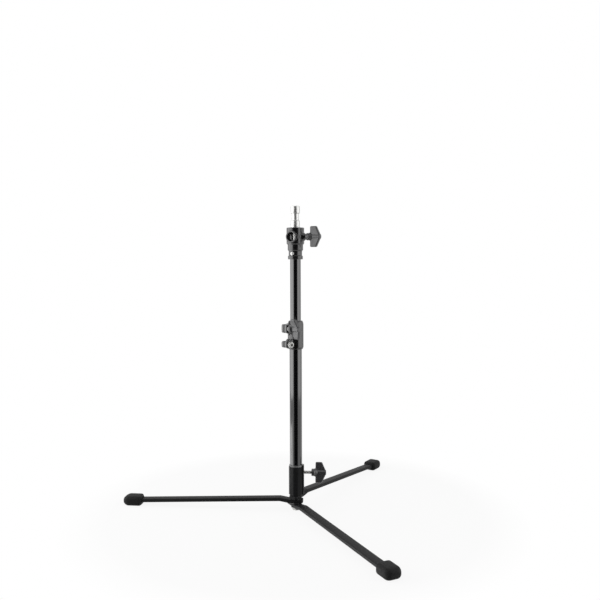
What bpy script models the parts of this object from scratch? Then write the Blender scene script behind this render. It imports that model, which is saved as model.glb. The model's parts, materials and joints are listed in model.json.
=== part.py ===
"""Low folding stand for a studio light, modelled as an assembly of separate pieces.

Metres, +Z up. The floor is z = 0 and the column stands on the Z axis. The legs swing on
one bolt and stand about a third of a turn apart, the left one near -X.
"""

import math

import bmesh
import bpy
from mathutils import Matrix, Vector

# Gaps between pieces
SEAT = 0.0003            # between two faces that rest on each other
SLIP = 0.0003            # around a tube, bolt or screw in its hole
SEAM = 0.000002          # points closer than this are one point
OVERSHOOT = 0.0020       # how far a cutter reaches past what it cuts

# Facets round a circle
ROUND = 36
MEDIUM_ROUND = 28
SMALL_ROUND = 18

# Legs: flat bars that share one bolt
LEG_WIDTH = 0.0160
LEG_THICKNESS = 0.0063
LEG_EDGE = 0.0014
LEG_REACH = 0.2985
LEG_FLAT = 0.0120        # from the bolt to the first bend
LEG_RISE = 0.0030        # how much the joggle lifts the bar
LEG_RISE_END = 0.0290    # from the bolt to the second bend
LEG_BEND = 0.0140        # radius of the bends
LEG_CORNER = 0.0025      # cut corners of the tail
LEG_AZIMUTH = {"left": 178.0, "front": -60.0, "back": 61.0}    # as photographed
LEG_TAIL = {"front": 0.0240, "left": 0.0125, "back": 0.0125}
LEG_ORDER = ("front", "left", "back")

# Rubber feet
FOOT_LENGTH = 0.0340
FOOT_WIDTH = 0.0270
FOOT_HEIGHT = 0.0176
FOOT_CORNER = 0.0062
FOOT_GRIP = 0.0140       # how far the bar goes in
FOOT_NOSE = 0.0105       # length of the rounded outer end
FOOT_NOSE_INSET = 0.0058     # how much it narrows on each side
FOOT_NOSE_DROP = 0.0050      # how much it thins above and below
FOOT_NOSE_ARC = (0, 22, 44, 64, 80)      # degrees round its curve, to the tip
FOOT_HEEL = 0.0050       # length of the rounded inner end
FOOT_HEEL_INSET = 0.0055
FOOT_HEEL_DROP = 0.0026
FOOT_HEEL_ARC = (60, 35, 0)

# Bolt through the legs
HUB_LIFT = 0.0008        # bolt head above the floor
HUB_BOLT_RADIUS = 0.0040
HUB_HEAD_ACROSS = 0.0130
HUB_HEAD_HEIGHT = 0.0040
HUB_NUT_HEIGHT = 0.0065
HUB_BOLT_STAND_OUT = 0.0020
WASHER_RADIUS = 0.0090
WASHER_THICKNESS = 0.0008
HEX_EDGE = 0.0004        # on hexagon heads and nuts
SCREW_CHAMFER = 0.0006   # on the ends of screws and bolts

# Socket at the foot of the column
SOCKET_HEIGHT = 0.0550
SOCKET_WALL = 0.0012
SOCKET_FLOOR = 0.0040
SOCKET_STEP = 0.0170     # from the underside up to the ledge that carries the tube
SOCKET_CHAMFER = 0.0030
SOCKET_EDGE = 0.0008
SOCKET_RIBS = 10
SOCKET_RIB_WIDTH = 0.0030
SOCKET_RIB_HEIGHT = 0.0004
BOSS_REACH = 0.0143      # boss face from the column axis
BOSS_WIDTH = 0.0110
BASE_SCREW_HEIGHT = 0.0405   # screw axis above the socket underside
BASE_SCREW_EXPOSED = 0.0136

# Tubes
LOWER_TUBE_RADIUS = 0.0110
UPPER_TUBE_RADIUS = 0.0095
TUBE_WALL = 0.0012
LOWER_TUBE_LENGTH = 0.2700
UPPER_TUBE_LENGTH = 0.3000
TUBE_CHAMFER = 0.0003
PLUG_FLANGE = 0.0015
PLUG_DEPTH = 0.0100
BUSH_FLANGE = 0.0040
BUSH_DEPTH = 0.0120
INSERT_WALL = 0.0015     # of the plug and of the bush
DRAWN_OUT = 0.1085       # bare upper tube between the two castings, as photographed

# Clamp casting between the tubes
CLAMP_AZIMUTH = 222.0    # the way its ears point
CLAMP_RADIUS = 0.0141
CLAMP_BELOW = 0.0266     # from the shoulder down to the underside
CLAMP_ABOVE = 0.0244     # from the shoulder up to the top
CLAMP_SHOULDER = 0.0030  # ring between the two bores
CLAMP_LIP = 0.0018       # ring over the bush
CLAMP_LIP_WALL = 0.0012
CLAMP_TAPER = 0.0080     # height of the rounded top
CLAMP_TAPER_ARC = 80     # degrees of its curve
CLAMP_CHAMFER = 0.0035   # height of the chamfer round the underside
CLAMP_CHAMFER_IN = 0.0018
CLAMP_BUSH_WALL = 0.0010
EAR_TIP = 0.0260         # ear tips from the column axis
EAR_WIDTH = 0.0150       # across both ears
EAR_ROUND = 0.0011
EAR_CORNER = 0.0020
EAR_SHOULDER = 0.0030    # where an ear is straight, from the body
UPPER_EAR_TIP = (0.0076, 0.0076)     # below and above its screw axis
UPPER_EAR_ROOT = (0.0100, 0.0086)
LOWER_EAR_TIP = (0.0056, 0.0058)
LOWER_EAR_ROOT = (0.0084, 0.0092)
CLAMP_SLIT = 0.0026
CLAMP_BRIDGE = 0.0060    # uncut band between the two slits
CLAMP_BRIDGE_DOWN = 0.0015   # its top below the shoulder
CLAMP_SCREW_OUT = 0.0190     # screw axes from the column axis
CLAMP_SCREW_UP = 0.0110      # above the shoulder
CLAMP_BOLT_DOWN = 0.0170     # below the shoulder
POCKET_DEPTH = 0.0022
CLAMP_WASHER_THICKNESS = 0.0016
CLAMP_WASHER_RADIUS = 0.0060

# Small fasteners
SCREW_RADIUS = 0.0030
NUT_ACROSS = 0.0100
NUT_HEIGHT = 0.0048
SCREW_STAND_OUT = 0.0015
CAP_RADIUS = 0.0050
CAP_HEIGHT = 0.0058
CAP_KEY_ACROSS = 0.0050
CAP_KEY_DEPTH = 0.0030
CAP_CHAMFER = 0.0005
PAD_LENGTH = 0.0018
PAD_CHAMFER = 0.0003

# T-knobs
KNOB_HUB_RADIUS = 0.0065
KNOB_HUB_LENGTH = 0.0070
KNOB_SPAN = 0.0365
KNOB_SHOULDER = 0.0186   # from the hub face to the wings' outer corners
KNOB_LENGTH = 0.0260
KNOB_THICKNESS = 0.0072
KNOB_SPINE_RADIUS = 0.0046
KNOB_ROUND = 0.0013
KNOB_CORNER = 0.0016     # cut corners of the wings
KNOB_TIP = 0.0025        # half the flat at the wings' outer tip
KNOB_SPINE_OUT = 0.0003  # how far the spine stands out of the tip
KNOB_SCREW_DEPTH = 0.0120
KNOB_CHAMFER = 0.0009
BASE_KNOB_TURN = -20.0
CLAMP_KNOB_TURN = 14.0
HEAD_KNOB_TURN = 0.0

# Head casting
HEAD_AZIMUTH = 246.0     # the way the cross bore points
HEAD_RADIUS = 0.0157
HEAD_COLLAR_RADIUS = 0.0137
HEAD_NECK_RADIUS = 0.0119
HEAD_LIP_RADIUS = 0.0133
HEAD_LIP = 0.0060
HEAD_NECK_TOP = 0.0155   # these three are above the head's underside
HEAD_COLLAR_TOP = 0.0268
HEAD_STEP = 0.0012
HEAD_CHAMFER = 0.0010
HEAD_TUBE_DEPTH = 0.0198
HEAD_FLOOR = 0.0040
STUD_DEPTH = 0.0320
CROSS_BORE_RADIUS = 0.0076
CROSS_BORE_MOUTH = 0.0006
CROSS_BORE_DOWN = 0.0163     # bore axis below the head's top
CROSS_RIM_WALL = 0.0022
CROSS_RIM_REACH = 0.0168
SCREW_BOSS_BASE = 0.0084
SCREW_BOSS_TIP = 0.0050
SCREW_BOSS_REACH = 0.0206
HEAD_SCREW_EXPOSED = 0.0026
RIVET_RADIUS = 0.0035
RIVET_DOME = 0.0017
RIVET_SHANK = 0.0019
RIVET_TAIL = 0.0027
RIVET_TAIL_LENGTH = 0.0016
RIVET_TAIL_CHAMFER = 0.0006
RIVET_TAIL_IN = 0.0009   # from the tube's inner wall
RIVET_UP = 0.0099        # above the head's underside

# Stud
STUD_RADIUS = 0.0080
STUD_NECK = 0.0063
STUD_NECK_LENGTH = 0.0110
STUD_TAPER = 0.0014
STUD_ABOVE = 0.0382
STUD_UPPER_NECK_UP = 0.0190  # middle of the upper neck above the head
STUD_CHAMFER = 0.0010

# Places that follow from the sizes above
HUB_HEAD_TOP = HUB_LIFT + HUB_HEAD_HEIGHT
LEG_PITCH = LEG_THICKNESS + WASHER_THICKNESS + 2 * SEAT
LOWEST_LEG = HUB_HEAD_TOP + WASHER_THICKNESS + 2 * SEAT
SOCKET_BOTTOM = LOWEST_LEG + 2 * LEG_PITCH + LEG_THICKNESS + SEAT
SOCKET_TOP = SOCKET_BOTTOM + SOCKET_HEIGHT
SOCKET_BORE = LOWER_TUBE_RADIUS + SLIP
SOCKET_RADIUS = SOCKET_BORE + SOCKET_WALL
SOCKET_LEDGE = SOCKET_BOTTOM + SOCKET_STEP
PLUG_BOTTOM = SOCKET_LEDGE + SEAT
LOWER_TUBE_BOTTOM = PLUG_BOTTOM + PLUG_FLANGE + SEAT
LOWER_TUBE_TOP = LOWER_TUBE_BOTTOM + LOWER_TUBE_LENGTH
SHOULDER = LOWER_TUBE_TOP + SEAT
CLAMP_BOTTOM = SHOULDER - CLAMP_BELOW
CLAMP_TOP = SHOULDER + CLAMP_ABOVE
HEAD_BOTTOM = CLAMP_TOP + DRAWN_OUT
HEAD_LEDGE = HEAD_BOTTOM + HEAD_TUBE_DEPTH
UPPER_TUBE_TOP = HEAD_LEDGE - SEAT
UPPER_TUBE_BOTTOM = UPPER_TUBE_TOP - UPPER_TUBE_LENGTH
STUD_FLOOR = HEAD_LEDGE + HEAD_FLOOR
STUD_BOTTOM = STUD_FLOOR + SEAT
HEAD_TOP = STUD_FLOOR + STUD_DEPTH
STUD_TOP = HEAD_TOP + STUD_ABOVE
CROSS_BORE_HEIGHT = HEAD_TOP - CROSS_BORE_DOWN
SCREW_HOLE = SCREW_RADIUS + SLIP
CLAMP_BORE = UPPER_TUBE_RADIUS + SLIP
CLAMP_BUSH_BORE = CLAMP_BORE + CLAMP_BUSH_WALL + SLIP


def material(name, colour, roughness, metallic=0.0):
    """A plain finish with one colour."""
    finish = bpy.data.materials.new(name)
    finish.use_nodes = True
    shader = finish.node_tree.nodes["Principled BSDF"]
    shader.inputs["Base Color"].default_value = (*colour, 1.0)
    shader.inputs["Roughness"].default_value = roughness
    shader.inputs["Metallic"].default_value = metallic
    return finish


def frame(name, height, azimuth=0.0):
    """An empty on the column axis, turned so that its +X points at the azimuth."""
    empty = bpy.data.objects.new(name, None)
    bpy.context.collection.objects.link(empty)
    empty.empty_display_size = 0.02
    empty.location = (0.0, 0.0, height)
    empty.rotation_euler = (0.0, 0.0, math.radians(azimuth))
    return empty


def piece(name, bm, finish, parent=None):
    """Turn a finished mesh into a named object with its material."""
    bmesh.ops.recalc_face_normals(bm, faces=bm.faces)
    if bm.calc_volume(signed=True) < 0.0:
        bmesh.ops.reverse_faces(bm, faces=bm.faces)
    mesh = bpy.data.meshes.new(name)
    bm.to_mesh(mesh)
    bm.free()
    mesh.shade_smooth()
    mesh.set_sharp_from_angle(angle=math.radians(35))
    obj = bpy.data.objects.new(name, mesh)
    bpy.context.collection.objects.link(obj)
    if finish is not None:
        mesh.materials.append(finish)
    obj.parent = parent
    return obj


def tool(name, bm, parent=None):
    """A guide shape that cuts or joins another piece and isn't a piece itself."""
    obj = piece(name, bm, None, parent)
    obj.hide_render = True
    obj.display_type = "WIRE"
    return obj


def shape(target, other, operation):
    """Cut a tool out of a piece, or join it on, and close the seam that this leaves."""
    boolean = target.modifiers.new(f"{operation.lower()}_{other.name}", "BOOLEAN")
    boolean.operation = operation
    boolean.solver = "EXACT"
    boolean.object = other
    weld = target.modifiers.new(f"seam_{other.name}", "WELD")
    weld.merge_threshold = SEAM


def cut(target, *cutters):
    for cutter in cutters:
        shape(target, cutter, "DIFFERENCE")


def join(target, *additions):
    for addition in additions:
        shape(target, addition, "UNION")


def round_edges(obj, width, segments=2):
    bevel = obj.modifiers.new("rounded_edges", "BEVEL")
    bevel.width = width
    bevel.segments = segments
    bevel.limit_method = "ANGLE"
    bevel.angle_limit = math.radians(28)


def turned(profile, segments=ROUND, along_x=False):
    """Revolve a closed outline of (radius, height) points about Z, or about X.

    A shape along X starts part of a facet round, so that where it crosses an upright
    shape their edges don't run along each other.
    """
    bm = bmesh.new()
    points = [bm.verts.new((radius, 0.0, height)) for radius, height in profile]
    lines = []
    for start, end in zip(points, points[1:] + points[:1]):
        if start.co.x > 0.0 or end.co.x > 0.0:
            lines.append(bm.edges.new((start, end)))
    bmesh.ops.spin(bm, geom=points + lines, cent=(0, 0, 0), axis=(0, 0, 1),
                   angle=2 * math.pi, steps=segments, use_merge=True)
    bmesh.ops.remove_doubles(bm, verts=bm.verts, dist=SEAM / 2)
    if along_x:
        bm.transform(Matrix.Rotation(0.3 * 2 * math.pi / segments, 4, "Z"))
        bm.transform(Matrix.Rotation(math.pi / 2, 4, "Y"))
    return bm


def rod(radius, start, end, segments=SMALL_ROUND, along_x=False, chamfer=0.0):
    """A solid round bar from start to end, with equal chamfers."""
    profile = [(0.0, start), (radius - chamfer, start), (radius, start + chamfer),
               (radius, end - chamfer), (radius - chamfer, end), (0.0, end)]
    if chamfer == 0.0:
        profile = [(0.0, start), (radius, start), (radius, end), (0.0, end)]
    return turned(profile, segments, along_x)


def ring(inner, outer, start, end, segments=ROUND, chamfer=0.0, along_x=False):
    """A tube or washer from start to end, with its outer edges chamfered."""
    profile = [(inner, start), (outer - chamfer, start), (outer, start + chamfer),
               (outer, end - chamfer), (outer - chamfer, end), (inner, end)]
    if chamfer == 0.0:
        profile = [(inner, start), (outer, start), (outer, end), (inner, end)]
    return turned(profile, segments, along_x)


def prism(outline, low, high, plane="XY"):
    """Extrude an outline between two distances along the axis that the plane lacks."""
    bm = bmesh.new()
    if plane == "XY":
        corners = [Vector((u, v, low)) for u, v in outline]
        way = Vector((0.0, 0.0, high - low))
    elif plane == "XZ":
        corners = [Vector((u, low, v)) for u, v in outline]
        way = Vector((0.0, high - low, 0.0))
    else:
        corners = [Vector((low, u, v)) for u, v in outline]
        way = Vector((high - low, 0.0, 0.0))
    face = bm.faces.new([bm.verts.new(corner) for corner in corners])
    swept = bmesh.ops.extrude_face_region(bm, geom=[face])
    moved = [item for item in swept["geom"] if isinstance(item, bmesh.types.BMVert)]
    bmesh.ops.translate(bm, verts=moved, vec=way)
    return bm


def hexagon(across):
    """A regular hexagon by its width across flats, with two flats facing +X and -X."""
    reach = across / math.sqrt(3)
    angles = [math.radians(30 + 60 * step) for step in range(6)]
    return [(reach * math.cos(angle), reach * math.sin(angle)) for angle in angles]


def box_outline(x0, x1, y0, y1):
    return [(x0, y0), (x1, y0), (x1, y1), (x0, y1)]


def lofted(sections):
    """Skin a row of closed sections that have equal counts of points."""
    bm = bmesh.new()
    rings = [[bm.verts.new(point) for point in section] for section in sections]
    for lower, upper in zip(rings, rings[1:]):
        for here in range(len(lower)):
            there = (here + 1) % len(lower)
            bm.faces.new((lower[here], lower[there], upper[there], upper[here]))
    bm.faces.new(rings[0])
    bm.faces.new(rings[-1])
    return bm


def rounded_rectangle(half_width, bottom, top, corner, steps=3):
    """Points of a rounded rectangle as (across, up), anticlockwise."""
    corner = min(corner, 0.98 * half_width, 0.49 * (top - bottom))
    centres = ((half_width - corner, bottom + corner, -90),
               (half_width - corner, top - corner, 0),
               (corner - half_width, top - corner, 90),
               (corner - half_width, bottom + corner, 180))
    points = []
    for across, up, start in centres:
        for step in range(steps + 1):
            angle = math.radians(start + 90 * step / steps)
            points.append((across + corner * math.cos(angle), up + corner * math.sin(angle)))
    return points


def bent_path(corners, radius, steps=3):
    """Round the inner corners of a path with arcs. Gives (point, direction) pairs."""
    path = []
    for before, here, after in zip(corners, corners[1:], corners[2:]):
        way_in = (here - before).normalized()
        way_out = (after - here).normalized()
        turn = way_in.angle_signed(way_out)
        reach = radius * abs(math.tan(turn / 2))
        if not path:
            path.append((before, way_in))
        side = Vector((-way_in.y, way_in.x)) * (-1 if turn > 0 else 1)
        centre = here - way_in * reach + side * radius
        for step in range(steps + 1):
            swing = -turn * step / steps
            arm = Matrix.Rotation(swing, 2) @ (-side * radius)
            path.append((centre + arm, Matrix.Rotation(swing, 2) @ way_in))
    path.append((corners[-1], way_out))
    return path


def leg_sections(tail, grow=0.0, start=None, reach=LEG_REACH, end_height=0.0):
    """Cross-sections of a leg bar from its tail to its end, with the bolt at the origin.

    grow makes the bar larger all round, for the pocket that it fits in.
    """
    corners = [Vector((-tail, 0.0)), Vector((LEG_FLAT, 0.0)),
               Vector((LEG_RISE_END, LEG_RISE)), Vector((reach, end_height))]
    stations = [(point, way, 1.0) for point, way in bent_path(corners, LEG_BEND)]
    narrow = 1.0 - 2 * LEG_CORNER / LEG_WIDTH
    if start is None:
        shoulder = corners[0] + Vector((LEG_CORNER, 0.0))
        stations[0] = (corners[0], stations[0][1], narrow)
        stations.insert(1, (shoulder, stations[0][1], 1.0))
    else:
        way = stations[-1][1]
        stations = [(corners[-1] - way * start, way, 1.0), stations[-1]]
    half = LEG_THICKNESS / 2 + grow
    outline = rounded_rectangle(LEG_WIDTH / 2 + grow, -half, half, LEG_EDGE, 2)
    sections = []
    for point, way, width in stations:
        section = []
        for across, up in outline:
            section.append((point.x - up * way.y, across * width, point.y + up * way.x))
        sections.append(section)
    return sections


def leg_height(which):
    """Middle of a leg bar at the bolt."""
    return LOWEST_LEG + LEG_ORDER.index(which) * LEG_PITCH + LEG_THICKNESS / 2


def make_leg(which, steel, rubber):
    """A bar and its rubber foot, both in a frame on the bolt axis."""
    height = leg_height(which)
    axis = frame(f"leg_axis_{which}", height, LEG_AZIMUTH[which])
    end_height = FOOT_HEIGHT / 2 - height
    bar = piece(f"leg_{which}",
                lofted(leg_sections(LEG_TAIL[which], end_height=end_height)), steel, axis)
    hole = tool(f"leg_hole_{which}",
                rod(HUB_BOLT_RADIUS + SLIP, -LEG_THICKNESS, LEG_THICKNESS), axis)
    cut(bar, hole)

    foot = piece(f"foot_{which}", lofted(foot_sections(-height)), rubber, axis)
    pocket_end = LEG_REACH + SEAT
    pocket = tool(f"foot_pocket_{which}",
                  lofted(leg_sections(0.0, SEAT, 2 * FOOT_GRIP, pocket_end, end_height)), axis)
    cut(foot, pocket)


def arc_shares(degrees):
    """How far along and how far in an arc is at each angle, as shares of the whole."""
    angles = [math.radians(angle) for angle in degrees]
    end = max(angles)
    return [(math.sin(angle) / math.sin(end), (1 - math.cos(angle)) / (1 - math.cos(end)))
            for angle in angles]


def foot_sections(floor):
    """Cross-sections of a rubber foot, from its inner end to its rounded nose."""
    heel = LEG_REACH - FOOT_GRIP
    nose = heel + FOOT_LENGTH
    stations = []
    for along, curve in arc_shares(FOOT_HEEL_ARC):
        stations.append((heel + FOOT_HEEL * (1 - along), curve * FOOT_HEEL_INSET,
                         curve * FOOT_HEEL_DROP))
    for along, curve in arc_shares(FOOT_NOSE_ARC):
        stations.append((nose - FOOT_NOSE * (1 - along), curve * FOOT_NOSE_INSET,
                         curve * FOOT_NOSE_DROP))
    sections = []
    for along, inset, drop in stations:
        outline = rounded_rectangle(FOOT_WIDTH / 2 - inset, floor + drop,
                                    floor + FOOT_HEIGHT - drop, FOOT_CORNER)
        sections.append([(along, across, up) for across, up in outline])
    return sections


def make_hub(zinc, plastic):
    """The bolt through the legs, its nut, and the washers between what it holds."""
    bolt = piece("hub_bolt", prism(hexagon(HUB_HEAD_ACROSS), HUB_LIFT, HUB_HEAD_TOP), zinc)
    round_edges(bolt, HEX_EDGE, 1)
    nut_bottom = SOCKET_BOTTOM + SOCKET_FLOOR + SEAT
    nut_top = nut_bottom + HUB_NUT_HEIGHT
    shank = tool("hub_shank", rod(HUB_BOLT_RADIUS, HUB_LIFT + HUB_HEAD_HEIGHT / 2,
                                  nut_top + HUB_BOLT_STAND_OUT, chamfer=SCREW_CHAMFER))
    join(bolt, shank)
    nut = piece("hub_nut", prism(hexagon(HUB_HEAD_ACROSS), nut_bottom, nut_top), zinc)
    round_edges(nut, HEX_EDGE, 1)
    cut(nut, tool("hub_nut_hole", rod(HUB_BOLT_RADIUS + SLIP, nut_bottom - OVERSHOOT,
                                      nut_top + OVERSHOOT)))
    for which in LEG_ORDER:
        bottom = leg_height(which) - LEG_THICKNESS / 2 - SEAT - WASHER_THICKNESS
        piece(f"washer_under_{which}_leg",
              ring(HUB_BOLT_RADIUS + SLIP, WASHER_RADIUS, bottom, bottom + WASHER_THICKNESS,
                   MEDIUM_ROUND),
              zinc if which == "front" else plastic)


def make_socket(casting):
    """The sleeve that holds the column, with ribs and a full-height screw boss."""
    floor_top = SOCKET_BOTTOM + SOCKET_FLOOR
    bolt_hole = HUB_BOLT_RADIUS + SLIP
    nut_room = LOWER_TUBE_RADIUS - TUBE_WALL - SLIP
    rim = SOCKET_BORE + SLIP
    socket = piece("base_socket", turned([
        (0.0, SOCKET_BOTTOM), (SOCKET_RADIUS - SOCKET_EDGE, SOCKET_BOTTOM),
        (SOCKET_RADIUS, SOCKET_BOTTOM + SOCKET_EDGE),
        (SOCKET_RADIUS, SOCKET_TOP - SOCKET_CHAMFER), (rim, SOCKET_TOP),
        (0.0, SOCKET_TOP)]), casting)
    inner = SOCKET_RADIUS - SOCKET_WALL / 2
    for number in range(1, SOCKET_RIBS):
        turn = frame(f"socket_rib_frame_{number}", 0.0, 360.0 * number / SOCKET_RIBS)
        half = SOCKET_RIB_WIDTH / 2
        outer = SOCKET_RADIUS + SOCKET_RIB_HEIGHT
        outline = [(inner, -half), (outer, -half / 2), (outer, half / 2), (inner, half)]
        join(socket, tool(f"socket_rib_{number}",
                          prism(outline, SOCKET_BOTTOM + SOCKET_EDGE,
                                SOCKET_TOP - SOCKET_CHAMFER), turn))
    half = BOSS_WIDTH / 2
    corner = BOSS_REACH - SOCKET_RADIUS
    outline = [(inner, -half), (BOSS_REACH - corner, -half), (BOSS_REACH, corner - half),
               (BOSS_REACH, half - corner), (BOSS_REACH - corner, half), (inner, half)]
    join(socket, tool("socket_boss", prism(outline, SOCKET_BOTTOM + SOCKET_EDGE,
                                           SOCKET_TOP - SOCKET_EDGE)))
    start = SOCKET_BOTTOM - OVERSHOOT
    end = SOCKET_TOP + OVERSHOOT
    cut(socket, tool("socket_bore", turned([
        (0.0, start), (bolt_hole, start), (bolt_hole, floor_top), (nut_room, floor_top),
        (nut_room, SOCKET_LEDGE), (SOCKET_BORE, SOCKET_LEDGE), (SOCKET_BORE, end),
        (0.0, end)])))
    cut(socket, tool("socket_screw_hole",
                     rod(SCREW_HOLE, LOWER_TUBE_RADIUS - TUBE_WALL, BOSS_REACH + OVERSHOOT,
                         along_x=True),
                     frame("base_hole_frame", SOCKET_BOTTOM + BASE_SCREW_HEIGHT)))


def knob_outline():
    """One side view of the wings, as (along the screw, across)."""
    half = KNOB_SPAN / 2
    inner = KNOB_HUB_LENGTH
    return [(inner, 0.0), (inner, KNOB_CORNER - half), (inner + KNOB_CORNER, -half),
            (KNOB_SHOULDER - KNOB_CORNER, -half), (KNOB_SHOULDER, KNOB_CORNER - half),
            (KNOB_LENGTH, -KNOB_TIP), (KNOB_LENGTH, KNOB_TIP),
            (KNOB_SHOULDER, half - KNOB_CORNER), (KNOB_SHOULDER - KNOB_CORNER, half),
            (inner + KNOB_CORNER, half), (inner, half - KNOB_CORNER)]


def make_knob(name, axis, hub_start, screw_start, turn, plastic, steel):
    """A T-knob and its screw along +X of a frame on the screw's axis."""
    tilt = frame(f"{name}_turn", 0.0)
    tilt.parent = axis
    tilt.location = (hub_start, 0.0, 0.0)
    tilt.rotation_euler = (math.radians(turn), 0.0, 0.0)
    half = KNOB_THICKNESS / 2
    knob = piece(f"{name}_knob", prism(knob_outline(), -half, half, "XZ"), plastic, tilt)
    round_edges(knob, KNOB_ROUND)
    hub = tool(f"{name}_knob_hub", turned([
        (0.0, 0.0), (KNOB_HUB_RADIUS - KNOB_CHAMFER, 0.0), (KNOB_HUB_RADIUS, KNOB_CHAMFER),
        (KNOB_HUB_RADIUS, KNOB_HUB_LENGTH - KNOB_CHAMFER),
        (KNOB_SPINE_RADIUS, KNOB_HUB_LENGTH + KNOB_CHAMFER),
        (KNOB_SPINE_RADIUS, KNOB_LENGTH - KNOB_CHAMFER),
        (KNOB_SPINE_RADIUS - KNOB_CHAMFER, KNOB_LENGTH + KNOB_SPINE_OUT),
        (0.0, KNOB_LENGTH + KNOB_SPINE_OUT)], SMALL_ROUND, along_x=True), tilt)
    join(knob, hub)
    hole = tool(f"{name}_knob_hole", rod(SCREW_HOLE, -OVERSHOOT, KNOB_SCREW_DEPTH + SEAT,
                                         along_x=True), tilt)
    cut(knob, hole)
    piece(f"{name}_screw", rod(SCREW_RADIUS, screw_start, hub_start + KNOB_SCREW_DEPTH,
                               along_x=True, chamfer=SCREW_CHAMFER), steel, axis)


def make_base_screw(plastic, steel, brass):
    axis = frame("base_screw_axis", SOCKET_BOTTOM + BASE_SCREW_HEIGHT)
    pad_start = LOWER_TUBE_RADIUS + SEAT
    pad_end = pad_start + PAD_LENGTH
    piece("base_pad", rod(SCREW_RADIUS, pad_start, pad_end, along_x=True,
                          chamfer=PAD_CHAMFER), brass, axis)
    make_knob("base", axis, BOSS_REACH + BASE_SCREW_EXPOSED, pad_end + SEAT,
              BASE_KNOB_TURN, plastic, steel)


def make_tubes(paint, nylon):
    """Both column tubes, the plug under the lower one and the bush under the upper one."""
    lower_bore = LOWER_TUBE_RADIUS - TUBE_WALL
    upper_bore = UPPER_TUBE_RADIUS - TUBE_WALL
    piece("lower_tube", ring(lower_bore, LOWER_TUBE_RADIUS, LOWER_TUBE_BOTTOM,
                             LOWER_TUBE_TOP, chamfer=TUBE_CHAMFER), paint)
    upper = piece("upper_tube", ring(upper_bore, UPPER_TUBE_RADIUS, UPPER_TUBE_BOTTOM,
                                     UPPER_TUBE_TOP, chamfer=TUBE_CHAMFER), paint)
    axis = frame("tube_rivet_frame", HEAD_BOTTOM + RIVET_UP, HEAD_AZIMUTH)
    through = UPPER_TUBE_RADIUS + OVERSHOOT
    cut(upper, tool("tube_rivet_holes", rod(RIVET_SHANK + SLIP, -through, through,
                                            along_x=True), axis))
    plug_top = LOWER_TUBE_BOTTOM + PLUG_DEPTH
    neck = lower_bore - SLIP
    piece("lower_tube_plug", turned([
        (0.0, PLUG_BOTTOM), (LOWER_TUBE_RADIUS - TUBE_CHAMFER, PLUG_BOTTOM),
        (LOWER_TUBE_RADIUS - TUBE_CHAMFER, PLUG_BOTTOM + PLUG_FLANGE),
        (neck, PLUG_BOTTOM + PLUG_FLANGE), (neck, plug_top),
        (neck - INSERT_WALL, plug_top), (neck - INSERT_WALL, PLUG_BOTTOM + PLUG_FLANGE),
        (0.0, PLUG_BOTTOM + PLUG_FLANGE)]), nylon)
    bush_top = UPPER_TUBE_BOTTOM + BUSH_DEPTH
    flange_top = UPPER_TUBE_BOTTOM - SEAT
    flange_bottom = flange_top - BUSH_FLANGE
    neck = upper_bore - SLIP
    guide = lower_bore - SLIP
    piece("guide_bush", turned([
        (neck - INSERT_WALL, flange_bottom), (guide - INSERT_WALL / 2, flange_bottom),
        (guide, flange_bottom + INSERT_WALL / 2), (guide, flange_top), (neck, flange_top),
        (neck, bush_top), (neck - INSERT_WALL, bush_top)]), nylon)


def clamp_dome(steps=4):
    """Profile of the casting's rounded top, from its full radius in to the lip."""
    lip = CLAMP_BORE + CLAMP_LIP_WALL
    points = []
    for step in range(steps + 1):
        angle = math.radians(CLAMP_TAPER_ARC * step / steps)
        points.append((lip + (CLAMP_RADIUS - lip) * math.cos(angle),
                       CLAMP_ABOVE - CLAMP_TAPER * (1 - math.sin(angle))))
    return points


def ear_outline(axis_height, tip, root):
    """Side view of an ear, as (out from the column, up), round its screw's axis.

    tip and root are how far the ear reaches below and above the axis at its two ends.
    """
    inside = CLAMP_BORE / 2
    straight = CLAMP_RADIUS + EAR_SHOULDER
    tip_low, tip_high = axis_height - tip[0], axis_height + tip[1]
    root_low, root_high = axis_height - root[0], axis_height + root[1]
    return [(inside, root_low), (CLAMP_RADIUS, root_low),
            (straight, tip_low + EAR_CORNER / 3), (EAR_TIP - EAR_CORNER, tip_low),
            (EAR_TIP, tip_low + EAR_CORNER), (EAR_TIP, tip_high - EAR_CORNER),
            (EAR_TIP - EAR_CORNER, tip_high), (straight, tip_high + EAR_CORNER / 3),
            (CLAMP_RADIUS, root_high), (inside, root_high)]


def side_frame(name, parent, out, up):
    """A frame on a clamp screw's axis, with +X along the screw towards the knob."""
    axis = frame(name, 0.0)
    axis.parent = parent
    axis.location = (out, 0.0, up)
    axis.rotation_euler = (0.0, 0.0, math.radians(90))
    return axis


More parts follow.
